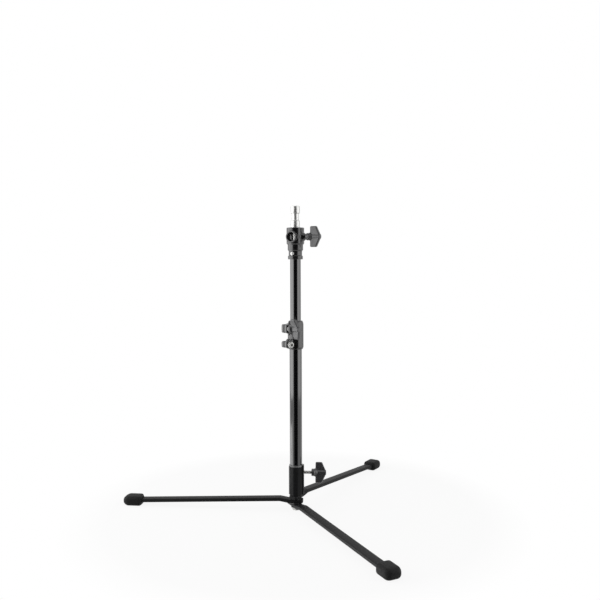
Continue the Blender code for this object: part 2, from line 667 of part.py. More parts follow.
def make_clamp(casting, nylon, plastic, steel, zinc):
    """The casting between the tubes, with its bush, its bolt and its T-knob."""
    clamp = frame("clamp_frame", SHOULDER, CLAMP_AZIMUTH)
    bore = LOWER_TUBE_RADIUS + SLIP
    bottom = -CLAMP_BELOW
    top = CLAMP_ABOVE
    body = piece("clamp_casting", turned([
        (0.0, bottom), (CLAMP_RADIUS - CLAMP_CHAMFER_IN, bottom),
        (CLAMP_RADIUS, bottom + CLAMP_CHAMFER)] + clamp_dome() + [(0.0, top)]),
        casting, clamp)
    half = EAR_WIDTH / 2
    upper_ear = tool("clamp_upper_ear", prism(
        ear_outline(CLAMP_SCREW_UP, UPPER_EAR_TIP, UPPER_EAR_ROOT), -half, half, "XZ"), clamp)
    lower_ear = tool("clamp_lower_ear", prism(
        ear_outline(-CLAMP_BOLT_DOWN, LOWER_EAR_TIP, LOWER_EAR_ROOT), -half, half, "XZ"), clamp)
    for ear in (upper_ear, lower_ear):
        round_edges(ear, EAR_ROUND)
        join(body, ear)
    through = 2 * EAR_TIP
    start, end = bottom - OVERSHOOT, top + OVERSHOOT
    bores = tool("clamp_bores", turned([
        (0.0, start), (bore, start), (bore, 0.0), (CLAMP_BORE, 0.0),
        (CLAMP_BORE, CLAMP_SHOULDER), (CLAMP_BUSH_BORE, CLAMP_SHOULDER),
        (CLAMP_BUSH_BORE, top - CLAMP_LIP), (CLAMP_BORE, top - CLAMP_LIP),
        (CLAMP_BORE, end), (0.0, end)]), clamp)
    slit = box_outline(0.0, through, -CLAMP_SLIT / 2, CLAMP_SLIT / 2)
    upper_slit = tool("clamp_upper_slit", prism(slit, -CLAMP_BRIDGE_DOWN, end), clamp)
    lower_slit = tool("clamp_lower_slit",
                      prism(slit, start, -CLAMP_BRIDGE_DOWN - CLAMP_BRIDGE), clamp)
    cut(body, bores, upper_slit, lower_slit)

    screw_axis = side_frame("clamp_screw_axis", clamp, CLAMP_SCREW_OUT, CLAMP_SCREW_UP)
    bolt_axis = side_frame("clamp_bolt_axis", clamp, CLAMP_SCREW_OUT, -CLAMP_BOLT_DOWN)
    pocket_floor = POCKET_DEPTH - half
    for name, axis in (("screw", screw_axis), ("bolt", bolt_axis)):
        hole = tool(f"clamp_{name}_hole", rod(SCREW_HOLE, -through, through, along_x=True), axis)
        pocket = tool(f"clamp_{name}_pocket",
                      prism(hexagon(NUT_ACROSS + 2 * SLIP), -through, pocket_floor, "YZ"), axis)
        cut(body, hole, pocket)

    bush_bottom = CLAMP_SHOULDER + SEAT
    bush_top = top - CLAMP_LIP - SEAT
    bush = piece("clamp_bush", ring(CLAMP_BORE, CLAMP_BORE + CLAMP_BUSH_WALL, bush_bottom,
                                    bush_top), nylon, clamp)
    cut(bush, tool("clamp_bush_slit", prism(slit, bush_bottom - OVERSHOOT,
                                            bush_top + OVERSHOOT), clamp))

    nut_end = pocket_floor - SEAT
    for name, axis in (("clamp_knob_nut", screw_axis), ("clamp_nut", bolt_axis)):
        nut = piece(name, prism(hexagon(NUT_ACROSS), nut_end - NUT_HEIGHT, nut_end, "YZ"),
                    zinc, axis)
        round_edges(nut, HEX_EDGE, 1)
        cut(nut, tool(f"{name}_hole", rod(SCREW_HOLE, nut_end - 2 * NUT_HEIGHT,
                                          nut_end + NUT_HEIGHT, along_x=True), axis))
    screw_end = nut_end - NUT_HEIGHT - SCREW_STAND_OUT
    make_cap_screw(bolt_axis, half + SEAT, screw_end, zinc)

    washer_start = half + SEAT
    washer_end = washer_start + CLAMP_WASHER_THICKNESS
    piece("clamp_washer", ring(SCREW_HOLE, CLAMP_WASHER_RADIUS, washer_start, washer_end,
                               SMALL_ROUND, along_x=True), zinc, screw_axis)
    make_knob("clamp", screw_axis, washer_end + SEAT, screw_end, CLAMP_KNOB_TURN,
              plastic, steel)


def make_cap_screw(axis, head_start, shank_end, steel):
    """A socket-head screw: its head stands on the ear and its shank goes through."""
    head_end = head_start + CAP_HEIGHT
    screw = piece("clamp_bolt", rod(CAP_RADIUS, head_start, head_end, along_x=True,
                                    chamfer=CAP_CHAMFER), steel, axis)
    join(screw, tool("clamp_bolt_shank", rod(SCREW_RADIUS, shank_end,
                                             head_start + CAP_HEIGHT / 3, along_x=True), axis))
    cut(screw, tool("clamp_bolt_key", prism(hexagon(CAP_KEY_ACROSS), head_end - CAP_KEY_DEPTH,
                                            head_end + OVERSHOOT, "YZ"), axis))


def make_head(casting, plastic, steel, brass):
    """The head casting with its rivets, its T-knob and the stud that it clamps."""
    head = frame("head_frame", HEAD_BOTTOM, HEAD_AZIMUTH)
    tube_bore = UPPER_TUBE_RADIUS + SLIP
    stud_bore = STUD_RADIUS + SLIP
    top = HEAD_TOP - HEAD_BOTTOM
    ledge = HEAD_TUBE_DEPTH
    floor_top = ledge + HEAD_FLOOR
    body = piece("head_casting", turned([
        (0.0, 0.0), (HEAD_LIP_RADIUS - HEAD_CHAMFER, 0.0),
        (HEAD_LIP_RADIUS, HEAD_CHAMFER), (HEAD_LIP_RADIUS, HEAD_LIP - HEAD_CHAMFER),
        (HEAD_NECK_RADIUS, HEAD_LIP), (HEAD_NECK_RADIUS, HEAD_NECK_TOP - HEAD_STEP),
        (HEAD_COLLAR_RADIUS, HEAD_NECK_TOP + HEAD_STEP),
        (HEAD_COLLAR_RADIUS, HEAD_COLLAR_TOP - HEAD_STEP),
        (HEAD_RADIUS, HEAD_COLLAR_TOP + HEAD_STEP), (HEAD_RADIUS, top - HEAD_CHAMFER),
        (HEAD_RADIUS - HEAD_CHAMFER, top), (0.0, top)]), casting, head)

    cross = frame("cross_bore_axis", 0.0)
    cross.parent = head
    cross.location = (0.0, 0.0, CROSS_BORE_HEIGHT - HEAD_BOTTOM)
    inside = STUD_RADIUS / 2
    rim = CROSS_BORE_RADIUS + CROSS_BORE_MOUTH + CROSS_RIM_WALL
    for way in (1, -1):
        near, far = sorted((way * inside, way * CROSS_RIM_REACH))
        join(body, tool(f"cross_rim_{'front' if way > 0 else 'back'}",
                        rod(rim, near, far, MEDIUM_ROUND, along_x=True), cross))
    screw_axis = side_frame("head_screw_axis", head, 0.0, CROSS_BORE_HEIGHT - HEAD_BOTTOM)
    join(body, tool("head_screw_boss", turned([
        (0.0, inside), (SCREW_BOSS_BASE, inside), (SCREW_BOSS_BASE, HEAD_RADIUS),
        (SCREW_BOSS_TIP + HEAD_CHAMFER, SCREW_BOSS_REACH - HEAD_CHAMFER),
        (SCREW_BOSS_TIP, SCREW_BOSS_REACH), (0.0, SCREW_BOSS_REACH)], MEDIUM_ROUND, along_x=True),
        screw_axis))
    tube_hole = tool("head_tube_hole", rod(tube_bore, -OVERSHOOT, ledge, ROUND), head)
    mouth = stud_bore + HEAD_CHAMFER / 2
    end = top + OVERSHOOT
    stud_hole = tool("stud_hole", turned([
        (0.0, floor_top), (stud_bore, floor_top), (stud_bore, top - HEAD_CHAMFER / 2),
        (mouth, top), (mouth, end), (0.0, end)]), head)
    mouth = CROSS_BORE_RADIUS + CROSS_BORE_MOUTH
    end = CROSS_RIM_REACH + OVERSHOOT
    start = CROSS_RIM_REACH - CROSS_BORE_MOUTH
    cross_hole = tool("cross_hole", turned([
        (0.0, -end), (mouth, -end), (mouth, -CROSS_RIM_REACH), (CROSS_BORE_RADIUS, -start),
        (CROSS_BORE_RADIUS, start), (mouth, CROSS_RIM_REACH), (mouth, end), (0.0, end)],
        MEDIUM_ROUND, along_x=True), cross)
    screw_hole = tool("head_screw_hole", rod(SCREW_HOLE, 0.0, SCREW_BOSS_REACH + OVERSHOOT,
                                             along_x=True), screw_axis)
    rivet_axis = frame("rivet_axis", 0.0)
    rivet_axis.parent = head
    rivet_axis.location = (0.0, 0.0, RIVET_UP)
    through = HEAD_NECK_RADIUS + OVERSHOOT
    rivet_hole = tool("head_rivet_holes", rod(RIVET_SHANK + SLIP, -through, through,
                                              along_x=True), rivet_axis)
    cut(body, tube_hole, stud_hole, cross_hole, screw_hole, rivet_hole)

    for name, turn in (("front", 0.0), ("back", 180.0)):
        side = frame(f"rivet_{name}_axis", 0.0, turn)
        side.parent = rivet_axis
        make_rivet(f"head_rivet_{name}", side, steel)

    pad_start = STUD_NECK + SEAT
    pad_end = pad_start + PAD_LENGTH
    piece("head_pad", rod(SCREW_RADIUS, pad_start, pad_end, along_x=True,
                          chamfer=PAD_CHAMFER), brass, screw_axis)
    make_knob("head", screw_axis, SCREW_BOSS_REACH + HEAD_SCREW_EXPOSED, pad_end + SEAT,
              HEAD_KNOB_TURN, plastic, steel)
    make_stud(steel)


def make_rivet(name, axis, steel):
    """A blind rivet: domed head outside, swollen tail inside the tube."""
    seat = HEAD_NECK_RADIUS + SEAT
    tail_end = UPPER_TUBE_RADIUS - TUBE_WALL - RIVET_TAIL_IN
    tail_start = tail_end - RIVET_TAIL_LENGTH
    profile = [(0.0, tail_start), (RIVET_TAIL - RIVET_TAIL_CHAMFER, tail_start),
               (RIVET_TAIL, tail_start + RIVET_TAIL_CHAMFER), (RIVET_TAIL, tail_end),
               (RIVET_SHANK, tail_end), (RIVET_SHANK, seat), (RIVET_RADIUS, seat)]
    for step in range(1, 5):
        angle = math.radians(90 * step / 5)
        profile.append((RIVET_RADIUS * math.cos(angle), seat + RIVET_DOME * math.sin(angle)))
    profile.append((0.0, seat + RIVET_DOME))
    piece(name, turned(profile, SMALL_ROUND, along_x=True), steel, axis)


def make_stud(steel):
    """A double-ended stud with a neck for each screw that grips it."""
    profile = [(0.0, STUD_BOTTOM), (STUD_RADIUS - STUD_CHAMFER, STUD_BOTTOM),
               (STUD_RADIUS, STUD_BOTTOM + STUD_CHAMFER)]
    half = STUD_NECK_LENGTH / 2
    for middle in (CROSS_BORE_HEIGHT, HEAD_TOP + STUD_UPPER_NECK_UP):
        profile += [(STUD_RADIUS, middle - half - STUD_TAPER), (STUD_NECK, middle - half),
                    (STUD_NECK, middle + half), (STUD_RADIUS, middle + half + STUD_TAPER)]
    profile += [(STUD_RADIUS, STUD_TOP - STUD_CHAMFER), (STUD_RADIUS - STUD_CHAMFER, STUD_TOP),
                (0.0, STUD_TOP)]
    piece("stud", turned(profile), steel)


def main():
    for obj in list(bpy.data.objects):
        bpy.data.objects.remove(obj, do_unlink=True)
    gloss_black = material("gloss_black_tube", (0.004, 0.004, 0.0045), 0.10)
    leg_black = material("black_steel", (0.012, 0.012, 0.0125), 0.50)
    cast_black = material("black_casting", (0.007, 0.007, 0.0075), 0.19)
    matt_black = material("matt_casting", (0.010, 0.010, 0.0105), 0.55)
    knob_black = material("black_knob", (0.030, 0.030, 0.032), 0.30)
    rubber = material("black_rubber", (0.011, 0.011, 0.011), 0.60)
    nylon = material("white_nylon", (0.60, 0.60, 0.58), 0.50)
    zinc = material("zinc_steel", (0.34, 0.34, 0.33), 0.38, 1.0)
    steel = material("bright_steel", (0.52, 0.52, 0.51), 0.32, 1.0)
    brass = material("brass", (0.60, 0.44, 0.20), 0.35, 1.0)

    make_hub(zinc, knob_black)
    for which in LEG_ORDER:
        make_leg(which, leg_black, rubber)
    make_socket(matt_black)
    make_base_screw(knob_black, steel, brass)
    make_tubes(gloss_black, nylon)
    make_clamp(cast_black, nylon, knob_black, steel, zinc)
    make_head(cast_black, knob_black, steel, brass)


main()
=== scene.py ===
"""Looks of a low folding light stand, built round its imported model.

Metres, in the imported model's frame: +Z up, the column on the Z axis, the floor at z = 0.
Each visible piece is built again with fine curves, edge radii and threads, in the space of
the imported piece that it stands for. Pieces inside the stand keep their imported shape.
"""

import json
import math

import bmesh
import bpy
from mathutils import Matrix, Vector


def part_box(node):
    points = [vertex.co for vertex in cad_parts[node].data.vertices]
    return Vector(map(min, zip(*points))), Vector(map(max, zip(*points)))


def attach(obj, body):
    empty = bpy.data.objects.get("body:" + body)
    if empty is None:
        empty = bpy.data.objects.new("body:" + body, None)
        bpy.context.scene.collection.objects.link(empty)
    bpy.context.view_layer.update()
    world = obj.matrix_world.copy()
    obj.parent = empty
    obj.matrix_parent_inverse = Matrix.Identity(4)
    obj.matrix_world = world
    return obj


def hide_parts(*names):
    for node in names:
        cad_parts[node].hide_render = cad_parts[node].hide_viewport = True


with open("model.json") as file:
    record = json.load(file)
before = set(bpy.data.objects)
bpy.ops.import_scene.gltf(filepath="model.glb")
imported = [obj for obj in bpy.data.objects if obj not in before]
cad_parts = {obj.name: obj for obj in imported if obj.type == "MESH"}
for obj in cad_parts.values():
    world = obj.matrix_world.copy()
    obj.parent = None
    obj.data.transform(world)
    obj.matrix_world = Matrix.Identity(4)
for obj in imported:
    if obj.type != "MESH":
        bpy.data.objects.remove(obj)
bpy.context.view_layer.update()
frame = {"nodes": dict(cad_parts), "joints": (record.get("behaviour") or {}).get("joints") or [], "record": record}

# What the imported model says
NODES = frame["nodes"]
BODY_OF = {node: body for body, members in frame["record"]["behaviour"]["bodies"].items()
           for node in members}
SLOT_OF = {part["node"]: part["material_slot"] for part in frame["record"]["subparts"]}
JOINTS = {joint["name"]: joint for joint in frame["joints"]}
BOX = {node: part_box(node) for node in NODES}

# Gaps and resolution
GAP = 0.0003             # between pieces that rest on each other
OVERSHOOT = 0.0020       # how far a cutter reaches past what it cuts
FACETS = 128             # round a large circle
SMALL_FACETS = 64        # round a small one
RIBBED_FACETS = 360      # round the ribbed socket
VOXEL = 0.00030          # grid that blends moulded and cast shapes
EDGE = 0.0003            # ordinary edge radius
WASHER_EDGE = 0.0002
HEX_FACETS = 96          # round the chamfers of a hexagon
FACET_TURN = 0.3         # of a facet, by which lying circles turn off other corners
CORNER_SHARE = 0.48      # of its shorter side that a rounded corner may take
STRAIGHT = 0.01          # half the least bend that is rounded, in radians
SHARP = 32.0             # degrees from which an edge stays sharp
CAST_SHARP = 50.0        # the same on moulded and cast pieces

# Legs and feet
LEG_AZIMUTH = {"left": 178.0, "front": -60.0, "back": 61.0}
LEG_TAIL = {"front": 0.0240, "left": 0.0125, "back": 0.0125}
LEG_WIDTH = 0.0160
LEG_THICKNESS = 0.0063
LEG_EDGE = 0.0014
LEG_REACH = 0.2985
LEG_FLAT = 0.0120
LEG_RISE = 0.0030
LEG_RISE_END = 0.0290
LEG_BEND = 0.0140
LEG_CORNER = 0.0025
LEG_HOLE = 0.0043
FOOT_LENGTH = 0.0340
FOOT_WIDTH = 0.0270
FOOT_HEIGHT = 0.0176
FOOT_CORNER = 0.0062
FOOT_GRIP = 0.0140
FOOT_NOSE = 0.0105
FOOT_NOSE_INSET = 0.0058
FOOT_NOSE_DROP = 0.0050
FOOT_NOSE_ARC = 80       # degrees round its curve, to the tip
FOOT_HEEL = 0.0050
FOOT_HEEL_INSET = 0.0055
FOOT_HEEL_DROP = 0.0026
FOOT_HEEL_ARC = 60

# Hub and socket
BOLT_RADIUS = 0.0040
BOLT_PITCH = 0.00125
BOLT_HEAD_ACROSS = 0.0130
BOLT_HEAD_HEIGHT = 0.0040
BOLT_SHANK_IN = 0.001    # where the shank starts inside the head
WASHER_BORE = 0.0043
SOCKET_WALL = 0.0012
SOCKET_FLOOR = 0.0040
SOCKET_STEP = 0.0170
SOCKET_CHAMFER = 0.0030
SOCKET_RIBS = 10
SOCKET_RIB_WIDTH = 0.0030
SOCKET_RIB_HEIGHT = 0.0004
SOCKET_CHAMFER_LEVELS = (1.6, 1.3, 1.0, 0.5, 0.08)   # heights of its rings, in chamfers
SOCKET_PAINTED_HIGHLIGHT_SLOPE = 0.1   # least upward lean of a face that gets the painted highlight of the rim
BOSS_REACH = 0.0143
BOSS_WIDTH = 0.0110
BOSS_DOWN = 0.0008       # boss below the socket's rim, and above its underside

# Tubes
TUBE_WALL = 0.0012

# Clamp casting
CLAMP_RADIUS = 0.0141
CLAMP_BUSH_BORE = 0.0111
CLAMP_SHOULDER = 0.0030
CLAMP_LIP = 0.0018
CLAMP_LIP_WALL = 0.0012
CLAMP_TAPER = 0.0080
CLAMP_TAPER_ARC = 80     # degrees of its curve
CLAMP_TAPER_STEPS = 12
CLAMP_CHAMFER = 0.0035
CLAMP_CHAMFER_IN = 0.00175
CLAMP_SLIT = 0.0026
CLAMP_BRIDGE = 0.0060    # uncut band between the two slits
CLAMP_BRIDGE_DOWN = 0.0015   # its top below the shoulder
EAR_TIP = 0.0260
EAR_WIDTH = 0.0150
EAR_ROUND = 0.0011
EAR_CORNER = 0.0026
EAR_ROOT_CORNER = 0.0020
EAR_SHOULDER_CORNER = 0.0040
EAR_SHOULDER = 0.0030    # where an ear is straight, from the body
UPPER_EAR_TIP = 0.0076       # above and below its screw axis
UPPER_EAR_ROOT = (0.0100, 0.0086)    # below and above it
LOWER_EAR_TIP = (0.0056, 0.0058)
LOWER_EAR_ROOT = 0.0092      # above its bolt axis
LOWER_EAR_UP = 0.0012        # its root above the underside
CLAMP_SCREW_OUT = 0.0190
CLAMP_SCREW_UP = 0.0110
CLAMP_BOLT_DOWN = 0.0170
POCKET_DEPTH = 0.0022
CLAMP_WASHER_RADIUS = 0.0060
CLAMP_WASHER_THICKNESS = 0.0016

# Fasteners
SCREW_RADIUS = 0.0030
SCREW_PITCH = 0.0010
SCREW_HOLE = 0.0033
NUT_ACROSS = 0.0100
NUT_HEIGHT = 0.0048
SCREW_STAND_OUT = 0.0015     # screw end past its nut
HEX_FLAT = 0.97          # turned flat of a hexagon's end, as a share of its width
HEX_CHAMFER = 30         # degrees
HEX_CUTTER = 1.05        # radius of the round that chamfers it, in corner radii
CAP_RADIUS = 0.0050
CAP_HEIGHT = 0.0058
CAP_KEY_ACROSS = 0.0050
CAP_KEY_DEPTH = 0.0030
CAP_KNURLS = 36
CAP_KNURL_DEPTH = 0.00022
CAP_KNURL_LOW = 0.0002   # where the knurls start, from the seat
CAP_KNURL_HIGH = 0.0009  # where they run out, from the end
CAP_CHAMFER = 0.0006
CAP_ROUND = 0.0002       # drop and inset halfway round the chamfer

# Screw threads, in pitches
THREAD_DEPTH = 0.61
THREAD_POINT = 0.8       # length of a pointed-off end
THREAD_POINT_CUT = 1.2   # how deep that end is cut, in thread depths
THREAD_CREST = 0.06      # half the flat of a crest
THREAD_FLANK = 0.38
THREAD_FACETS = 36
THREAD_STEPS = 10        # rings per pitch

# T-knobs
KNOB_HUB_RADIUS = 0.0065
KNOB_HUB_LENGTH = 0.0070
KNOB_SPAN = 0.0365
KNOB_SHOULDER = 0.0186
KNOB_LENGTH = 0.0260
KNOB_TIP = 0.0025        # half the flat on the knob's outer end
KNOB_THICKNESS = 0.0072
KNOB_SPINE_RADIUS = 0.0046
KNOB_ROUND = 0.0016
KNOB_TIP_CORNER = 0.0030
KNOB_CORNER = 0.0022
KNOB_THINNING = 0.18     # how much thinner the wings' ends are than their middle
KNOB_THINNING_POWER = 1.5
KNOB_STEM = 0.0045       # straight part of the hub
KNOB_FLARE = 0.0014      # how much the hub widens towards the wings
KNOB_FLARE_UP = 0.0006   # where it is widest, from the hub's length
KNOB_SPINE_UP = 0.0040   # where it has narrowed to the spine
KNOB_SPINE_OUT = 0.0002  # spine past the outer end
KNOB_FACE_CORNER = 0.0007
KNOB_FLARE_CORNER = 0.0005
KNOB_SPINE_CORNER = 0.0012
KNOB_HOLLOW = 0.0020     # curve on each side of the flare
KNOB_BORE_DEPTH = 0.0123
KNOB_TURN = {"base": -20.0, "clamp": 14.0, "head": 0.0}
# Along the screw axis from the joint: the knob's inner face, and the screw's end
KNOB_START = {"base": 0.0279, "clamp": 0.0097, "head": 0.0232}
SCREW_START = {"base": 0.0134, "clamp": -0.0119, "head": 0.0087}

# Head casting and stud
HEAD_RADIUS = 0.0157
HEAD_COLLAR_RADIUS = 0.0137
HEAD_NECK_RADIUS = 0.0119
HEAD_LIP_RADIUS = 0.0133
HEAD_LIP = 0.0060
HEAD_NECK_TOP = 0.0155
HEAD_COLLAR_TOP = 0.0268
HEAD_STEP = 0.0012
HEAD_LIP_SLOPE = 0.0006
HEAD_CORNER = 0.0010
HEAD_HOLLOW = 0.0020     # curve below each step
HEAD_SWELL = 0.0015      # curve above each step
HEAD_TUBE_DEPTH = 0.0198
HEAD_FLOOR = 0.0040
CROSS_BORE_RADIUS = 0.0076
CROSS_BORE_MOUTH = 0.0006
CROSS_RIM_WALL = 0.0022
CROSS_RIM_REACH = 0.0168
CROSS_RIM_EDGE = 0.0006
SCREW_BOSS_BASE = 0.0084
SCREW_BOSS_TIP = 0.0050
SCREW_BOSS_REACH = 0.0206
SCREW_BOSS_CURVE = 0.0010
SCREW_BOSS_CORNER = 0.0008
RIVET_RADIUS = 0.0035
RIVET_DOME = 0.0017
RIVET_SHANK = 0.0019
RIVET_TAIL = 0.0027
RIVET_TAIL_LENGTH = 0.0016
RIVET_TAIL_CHAMFER = 0.0006
RIVET_TAIL_IN = 0.0009   # from the tube's inner wall
RIVET_DOME_ARC = 70      # degrees of its curve
RIVET_DOME_STEPS = 8
RIVET_DOME_TOP = 0.95    # where the mandrel's hole starts, in dome heights
RIVET_DIMPLE = 0.0010    # radius of the mandrel's hole
RIVET_DIMPLE_TAPER = 0.0001
RIVET_DIMPLE_DEPTH = 0.0005
RIVET_MANDREL = 0.0004   # its end below the hole's rim
RIVET_UP = 0.0099
STUD_NECK = 0.0063
STUD_NECK_LENGTH = 0.0110
STUD_TAPER = 0.0014
STUD_UPPER_NECK_UP = 0.0190
STUD_MOUTH = 0.0005      # chamfer of its bore in the head
STUD_FOOT_CORNER = 0.0010
STUD_NECK_CORNER = 0.0008
STUD_TOP_CORNER = 0.0012

# Floor, lamps and camera
FLOOR_RADIUS = 0.42
FLOOR_FADE = 0.33        # where the floor starts to melt into the white background
FLOOR_RIM = 0.01         # plain white ring at its edge
FLOOR_WHITE = 0.90       # share of plain white in what the camera sees of the floor
FLOOR_PAPER = 0.80       # light that the paper throws back
FLOOR_ROUGHNESS = 0.90
FLOOR_DOWN = 0.00005     # its top below the feet
FLOOR_THICKNESS = 0.010
AMBIENT = 0.42
LAMP_TARGET = Vector((0.0, 0.0, 0.28))
# Name, azimuth and elevation, distance, width and height, radiance. Azimuth 0 is behind
# the camera and 90 at its left.
SOFTBOXES = (
    ("left_softbox", 78.0, 13.0, 1.30, 1.90, 1.25, 2.1),
    ("low_left_softbox", 92.0, -36.0, 1.30, 1.30, 0.75, 2.1),
    ("right_softbox", -76.0, 13.0, 1.30, 1.50, 1.25, 1.25),
    ("top_softbox", 150.0, 68.0, 1.20, 1.10, 0.80, 0.45),
)
FLAG_DISTANCE = 1.5
FLAG_SPREAD = 36.0       # degrees to each side of its middle
FLAG_TURN = 4.3          # its middle from straight behind the camera
FLAG_BOTTOM = -3.0
FLAG_TOP = 1.6
FLAG_STEPS = 24
FLAG_BLACK = 0.001
CAMERA_PLACE = Vector((0.0924, -1.2193, 0.4368))
CAMERA_TARGET = Vector((0.0079, 0.0005, 0.3784))
CAMERA_ROLL = math.radians(-0.15)
CAMERA_LENS = 41.33
CAMERA_SENSOR = 36.0

# Lighter edges of the finishes: partly wear, partly painted edge highlight
WEAR_AND_HIGHLIGHT_RADIUS = 0.0006
WEAR_AND_HIGHLIGHT_ALIKE = (0.86, 0.985)   # soft normal times plain one, at the full lighter edge and at none
WEAR_AND_HIGHLIGHT_PATCHES = 260.0     # features per metre
WEAR_AND_HIGHLIGHT_LEAST = 0.25        # share of the lighter edge between the patches
WEAR_AND_HIGHLIGHT_PATCH_RANGE = (0.35, 0.60)

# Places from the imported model
LOWER_RADIUS = BOX["lower_tube"][1].x
UPPER_RADIUS = BOX["upper_tube"][1].x
SHOULDER = BOX["lower_tube"][1].z + GAP
SOCKET_BOTTOM = BOX["base_socket"][0].z
SOCKET_TOP = BOX["base_socket"][1].z
CLAMP_BOTTOM = BOX["clamp_casting"][0].z
CLAMP_TOP = BOX["clamp_casting"][1].z
HEAD_BOTTOM = BOX["head_casting"][0].z
HEAD_TOP = BOX["head_casting"][1].z
SOCKET_BORE = LOWER_RADIUS + GAP
SOCKET_RADIUS = SOCKET_BORE + SOCKET_WALL


def turned_matrix(azimuth, height=0.0):
    """A place on the column axis, with +X towards the azimuth in degrees."""
    return Matrix.Translation((0.0, 0.0, height)) @ Matrix.Rotation(
        math.radians(azimuth), 4, "Z")


def azimuth_of(joint):
    axis = JOINTS[joint]["axis"]
    return math.degrees(math.atan2(axis[1], axis[0]))


def screw_place(joint):
    """A place on a knob's screw axis, with +X along the screw and +Z up."""
    return Matrix.Translation(JOINTS[joint]["pos_m"]) @ turned_matrix(azimuth_of(joint))


# Outlines

def rounded(corners, radius, steps=4):
    """Turn the corners of a closed outline into arcs. A corner may bring its own radius."""
    points = []
    for index, corner in enumerate(corners):
        here = Vector(corner[:2])
        size = corner[2] if len(corner) > 2 else radius
        before = Vector(corners[index - 1][:2]) - here
        after = Vector(corners[(index + 1) % len(corners)][:2]) - here
        half = before.angle(after) / 2
        if size == 0.0 or abs(half - math.pi / 2) < STRAIGHT:
            points.append(tuple(here))
            continue
        reach = min(size / math.tan(half), CORNER_SHARE * min(before.length, after.length))
        size = reach * math.tan(half)
        way_in, way_out = before.normalized(), after.normalized()
        centre = here + (way_in + way_out).normalized() * (size / math.sin(half))
        first = here + way_in * reach - centre
        last = here + way_out * reach - centre
        sweep = math.atan2(first.x * last.y - first.y * last.x, first.dot(last))
        for step in range(steps + 1):
            arm = Matrix.Rotation(sweep * step / steps, 2) @ first
            points.append(tuple(centre + arm))
    return points


def turned_outline(corners, radius=EDGE):
    """An outline of (radius, height) corners for turning: its corners on the axis stay."""
    marked = [(*corner[:2], 0.0) if corner[0] == 0.0 else corner for corner in corners]
    return rounded(marked, radius)


def turns(count):
    """Angles round a full circle, in even steps."""
    return [2 * math.pi * step / count for step in range(count)]


def circle(radius, count):
    return [(radius * math.cos(turn), radius * math.sin(turn)) for turn in turns(count)]


def hexagon(across):
    reach = across / math.sqrt(3)
    angles = [math.radians(30 + 60 * step) for step in range(6)]
    return [(reach * math.cos(angle), reach * math.sin(angle)) for angle in angles]


def box_outline(x0, x1, y0, y1):
    return [(x0, y0), (x1, y0), (x1, y1), (x0, y1)]


# Shapes

def skin(bm, lower, upper):
    """Faces between two rings of points. A ring may be a single point."""
    count = max(len(lower), len(upper))
    for here in range(count):
        there = (here + 1) % count
        corners = (lower[here % len(lower)], lower[there % len(lower)],
                   upper[there % len(upper)], upper[here % len(upper)])
        distinct = list(dict.fromkeys(corners))
        if len(distinct) > 2:
            bm.faces.new(distinct)


def outward(bm):
    bmesh.ops.recalc_face_normals(bm, faces=bm.faces)
    if bm.calc_volume(signed=True) < 0.0:
        bmesh.ops.reverse_faces(bm, faces=bm.faces)
    return bm


def turned(outline, facets=FACETS, along_x=False):
    """Revolve a closed outline of (radius, height) points about Z, or about X."""
    bm = bmesh.new()
    rings = []
    for radius, height in outline:
        if radius == 0.0:
            rings.append([bm.verts.new((0.0, 0.0, height))])
        else:
            rings.append([bm.verts.new((x, y, height)) for x, y in circle(radius, facets)])
    for lower, upper in zip(rings, rings[1:] + rings[:1]):
        if len(lower) + len(upper) > 2:
            skin(bm, lower, upper)
    if along_x:
        bm.transform(Matrix.Rotation(FACET_TURN * 2 * math.pi / facets, 4, "Z"))
        bm.transform(Matrix.Rotation(math.pi / 2, 4, "Y"))
    return outward(bm)


def rod(radius, start, end, facets=SMALL_FACETS, along_x=True, edge=0.0):
    corners = [(0.0, start), (radius, start), (radius, end), (0.0, end)]
    return turned(turned_outline(corners, edge), facets, along_x)


def ring(inner, outer, start, end, edge, along_x=False):
    corners = [(inner, start), (outer, start), (outer, end), (inner, end)]
    return turned(turned_outline(corners, edge), SMALL_FACETS, along_x)


def lofted(sections):
    """Skin a row of closed sections that have equal counts of points."""
    bm = bmesh.new()
    rings = [[bm.verts.new(point) for point in section] for section in sections]
    for lower, upper in zip(rings, rings[1:]):
        skin(bm, lower, upper)
    bm.faces.new(rings[0])
    bm.faces.new(rings[-1])
    return outward(bm)


def prism(outline, low, high, plane="XY"):
    """Extrude an outline between two distances along the axis that the plane lacks."""
    places = {"XY": lambda u, v, w: (u, v, w), "XZ": lambda u, v, w: (u, w, v),
              "YZ": lambda u, v, w: (w, u, v)}
    place = places[plane]
    return lofted([[place(u, v, level) for u, v in outline] for level in (low, high)])


def threaded(radius, pitch, start, end):
    """A screw thread along +X with pointed-off ends, as one closed surface."""
    depth = THREAD_DEPTH * pitch
    point = THREAD_POINT * pitch
    count = round((end - start) / pitch * THREAD_STEPS)
    sections = []
    for level in range(count + 1):
        along = start + (end - start) * level / count
        share = max(0.0, 1.0 - min(along - start, end - along) / point)
        end_cut = share * depth * THREAD_POINT_CUT
        points = []
        for facet, turn in enumerate(turns(THREAD_FACETS)):
            phase = (along / pitch - facet / THREAD_FACETS) % 1.0
            off_crest = (abs(phase - 0.5) - THREAD_CREST) / THREAD_FLANK
            ridge = min(1.0, max(0.0, 1.0 - off_crest))
            reach = min(radius - depth * (1.0 - ridge), radius - end_cut)
            points.append((along, reach * math.cos(turn), reach * math.sin(turn)))
        sections.append(points)
    return lofted(sections)


# Objects

def add_object(name, data):
    obj = bpy.data.objects.new(name, data)
    bpy.context.scene.collection.objects.link(obj)
    return obj


def solid(name, bm):
    """An object of a closed mesh."""
    mesh = bpy.data.meshes.new(name)
    bm.to_mesh(mesh)
    bm.free()
    return add_object(name, mesh)


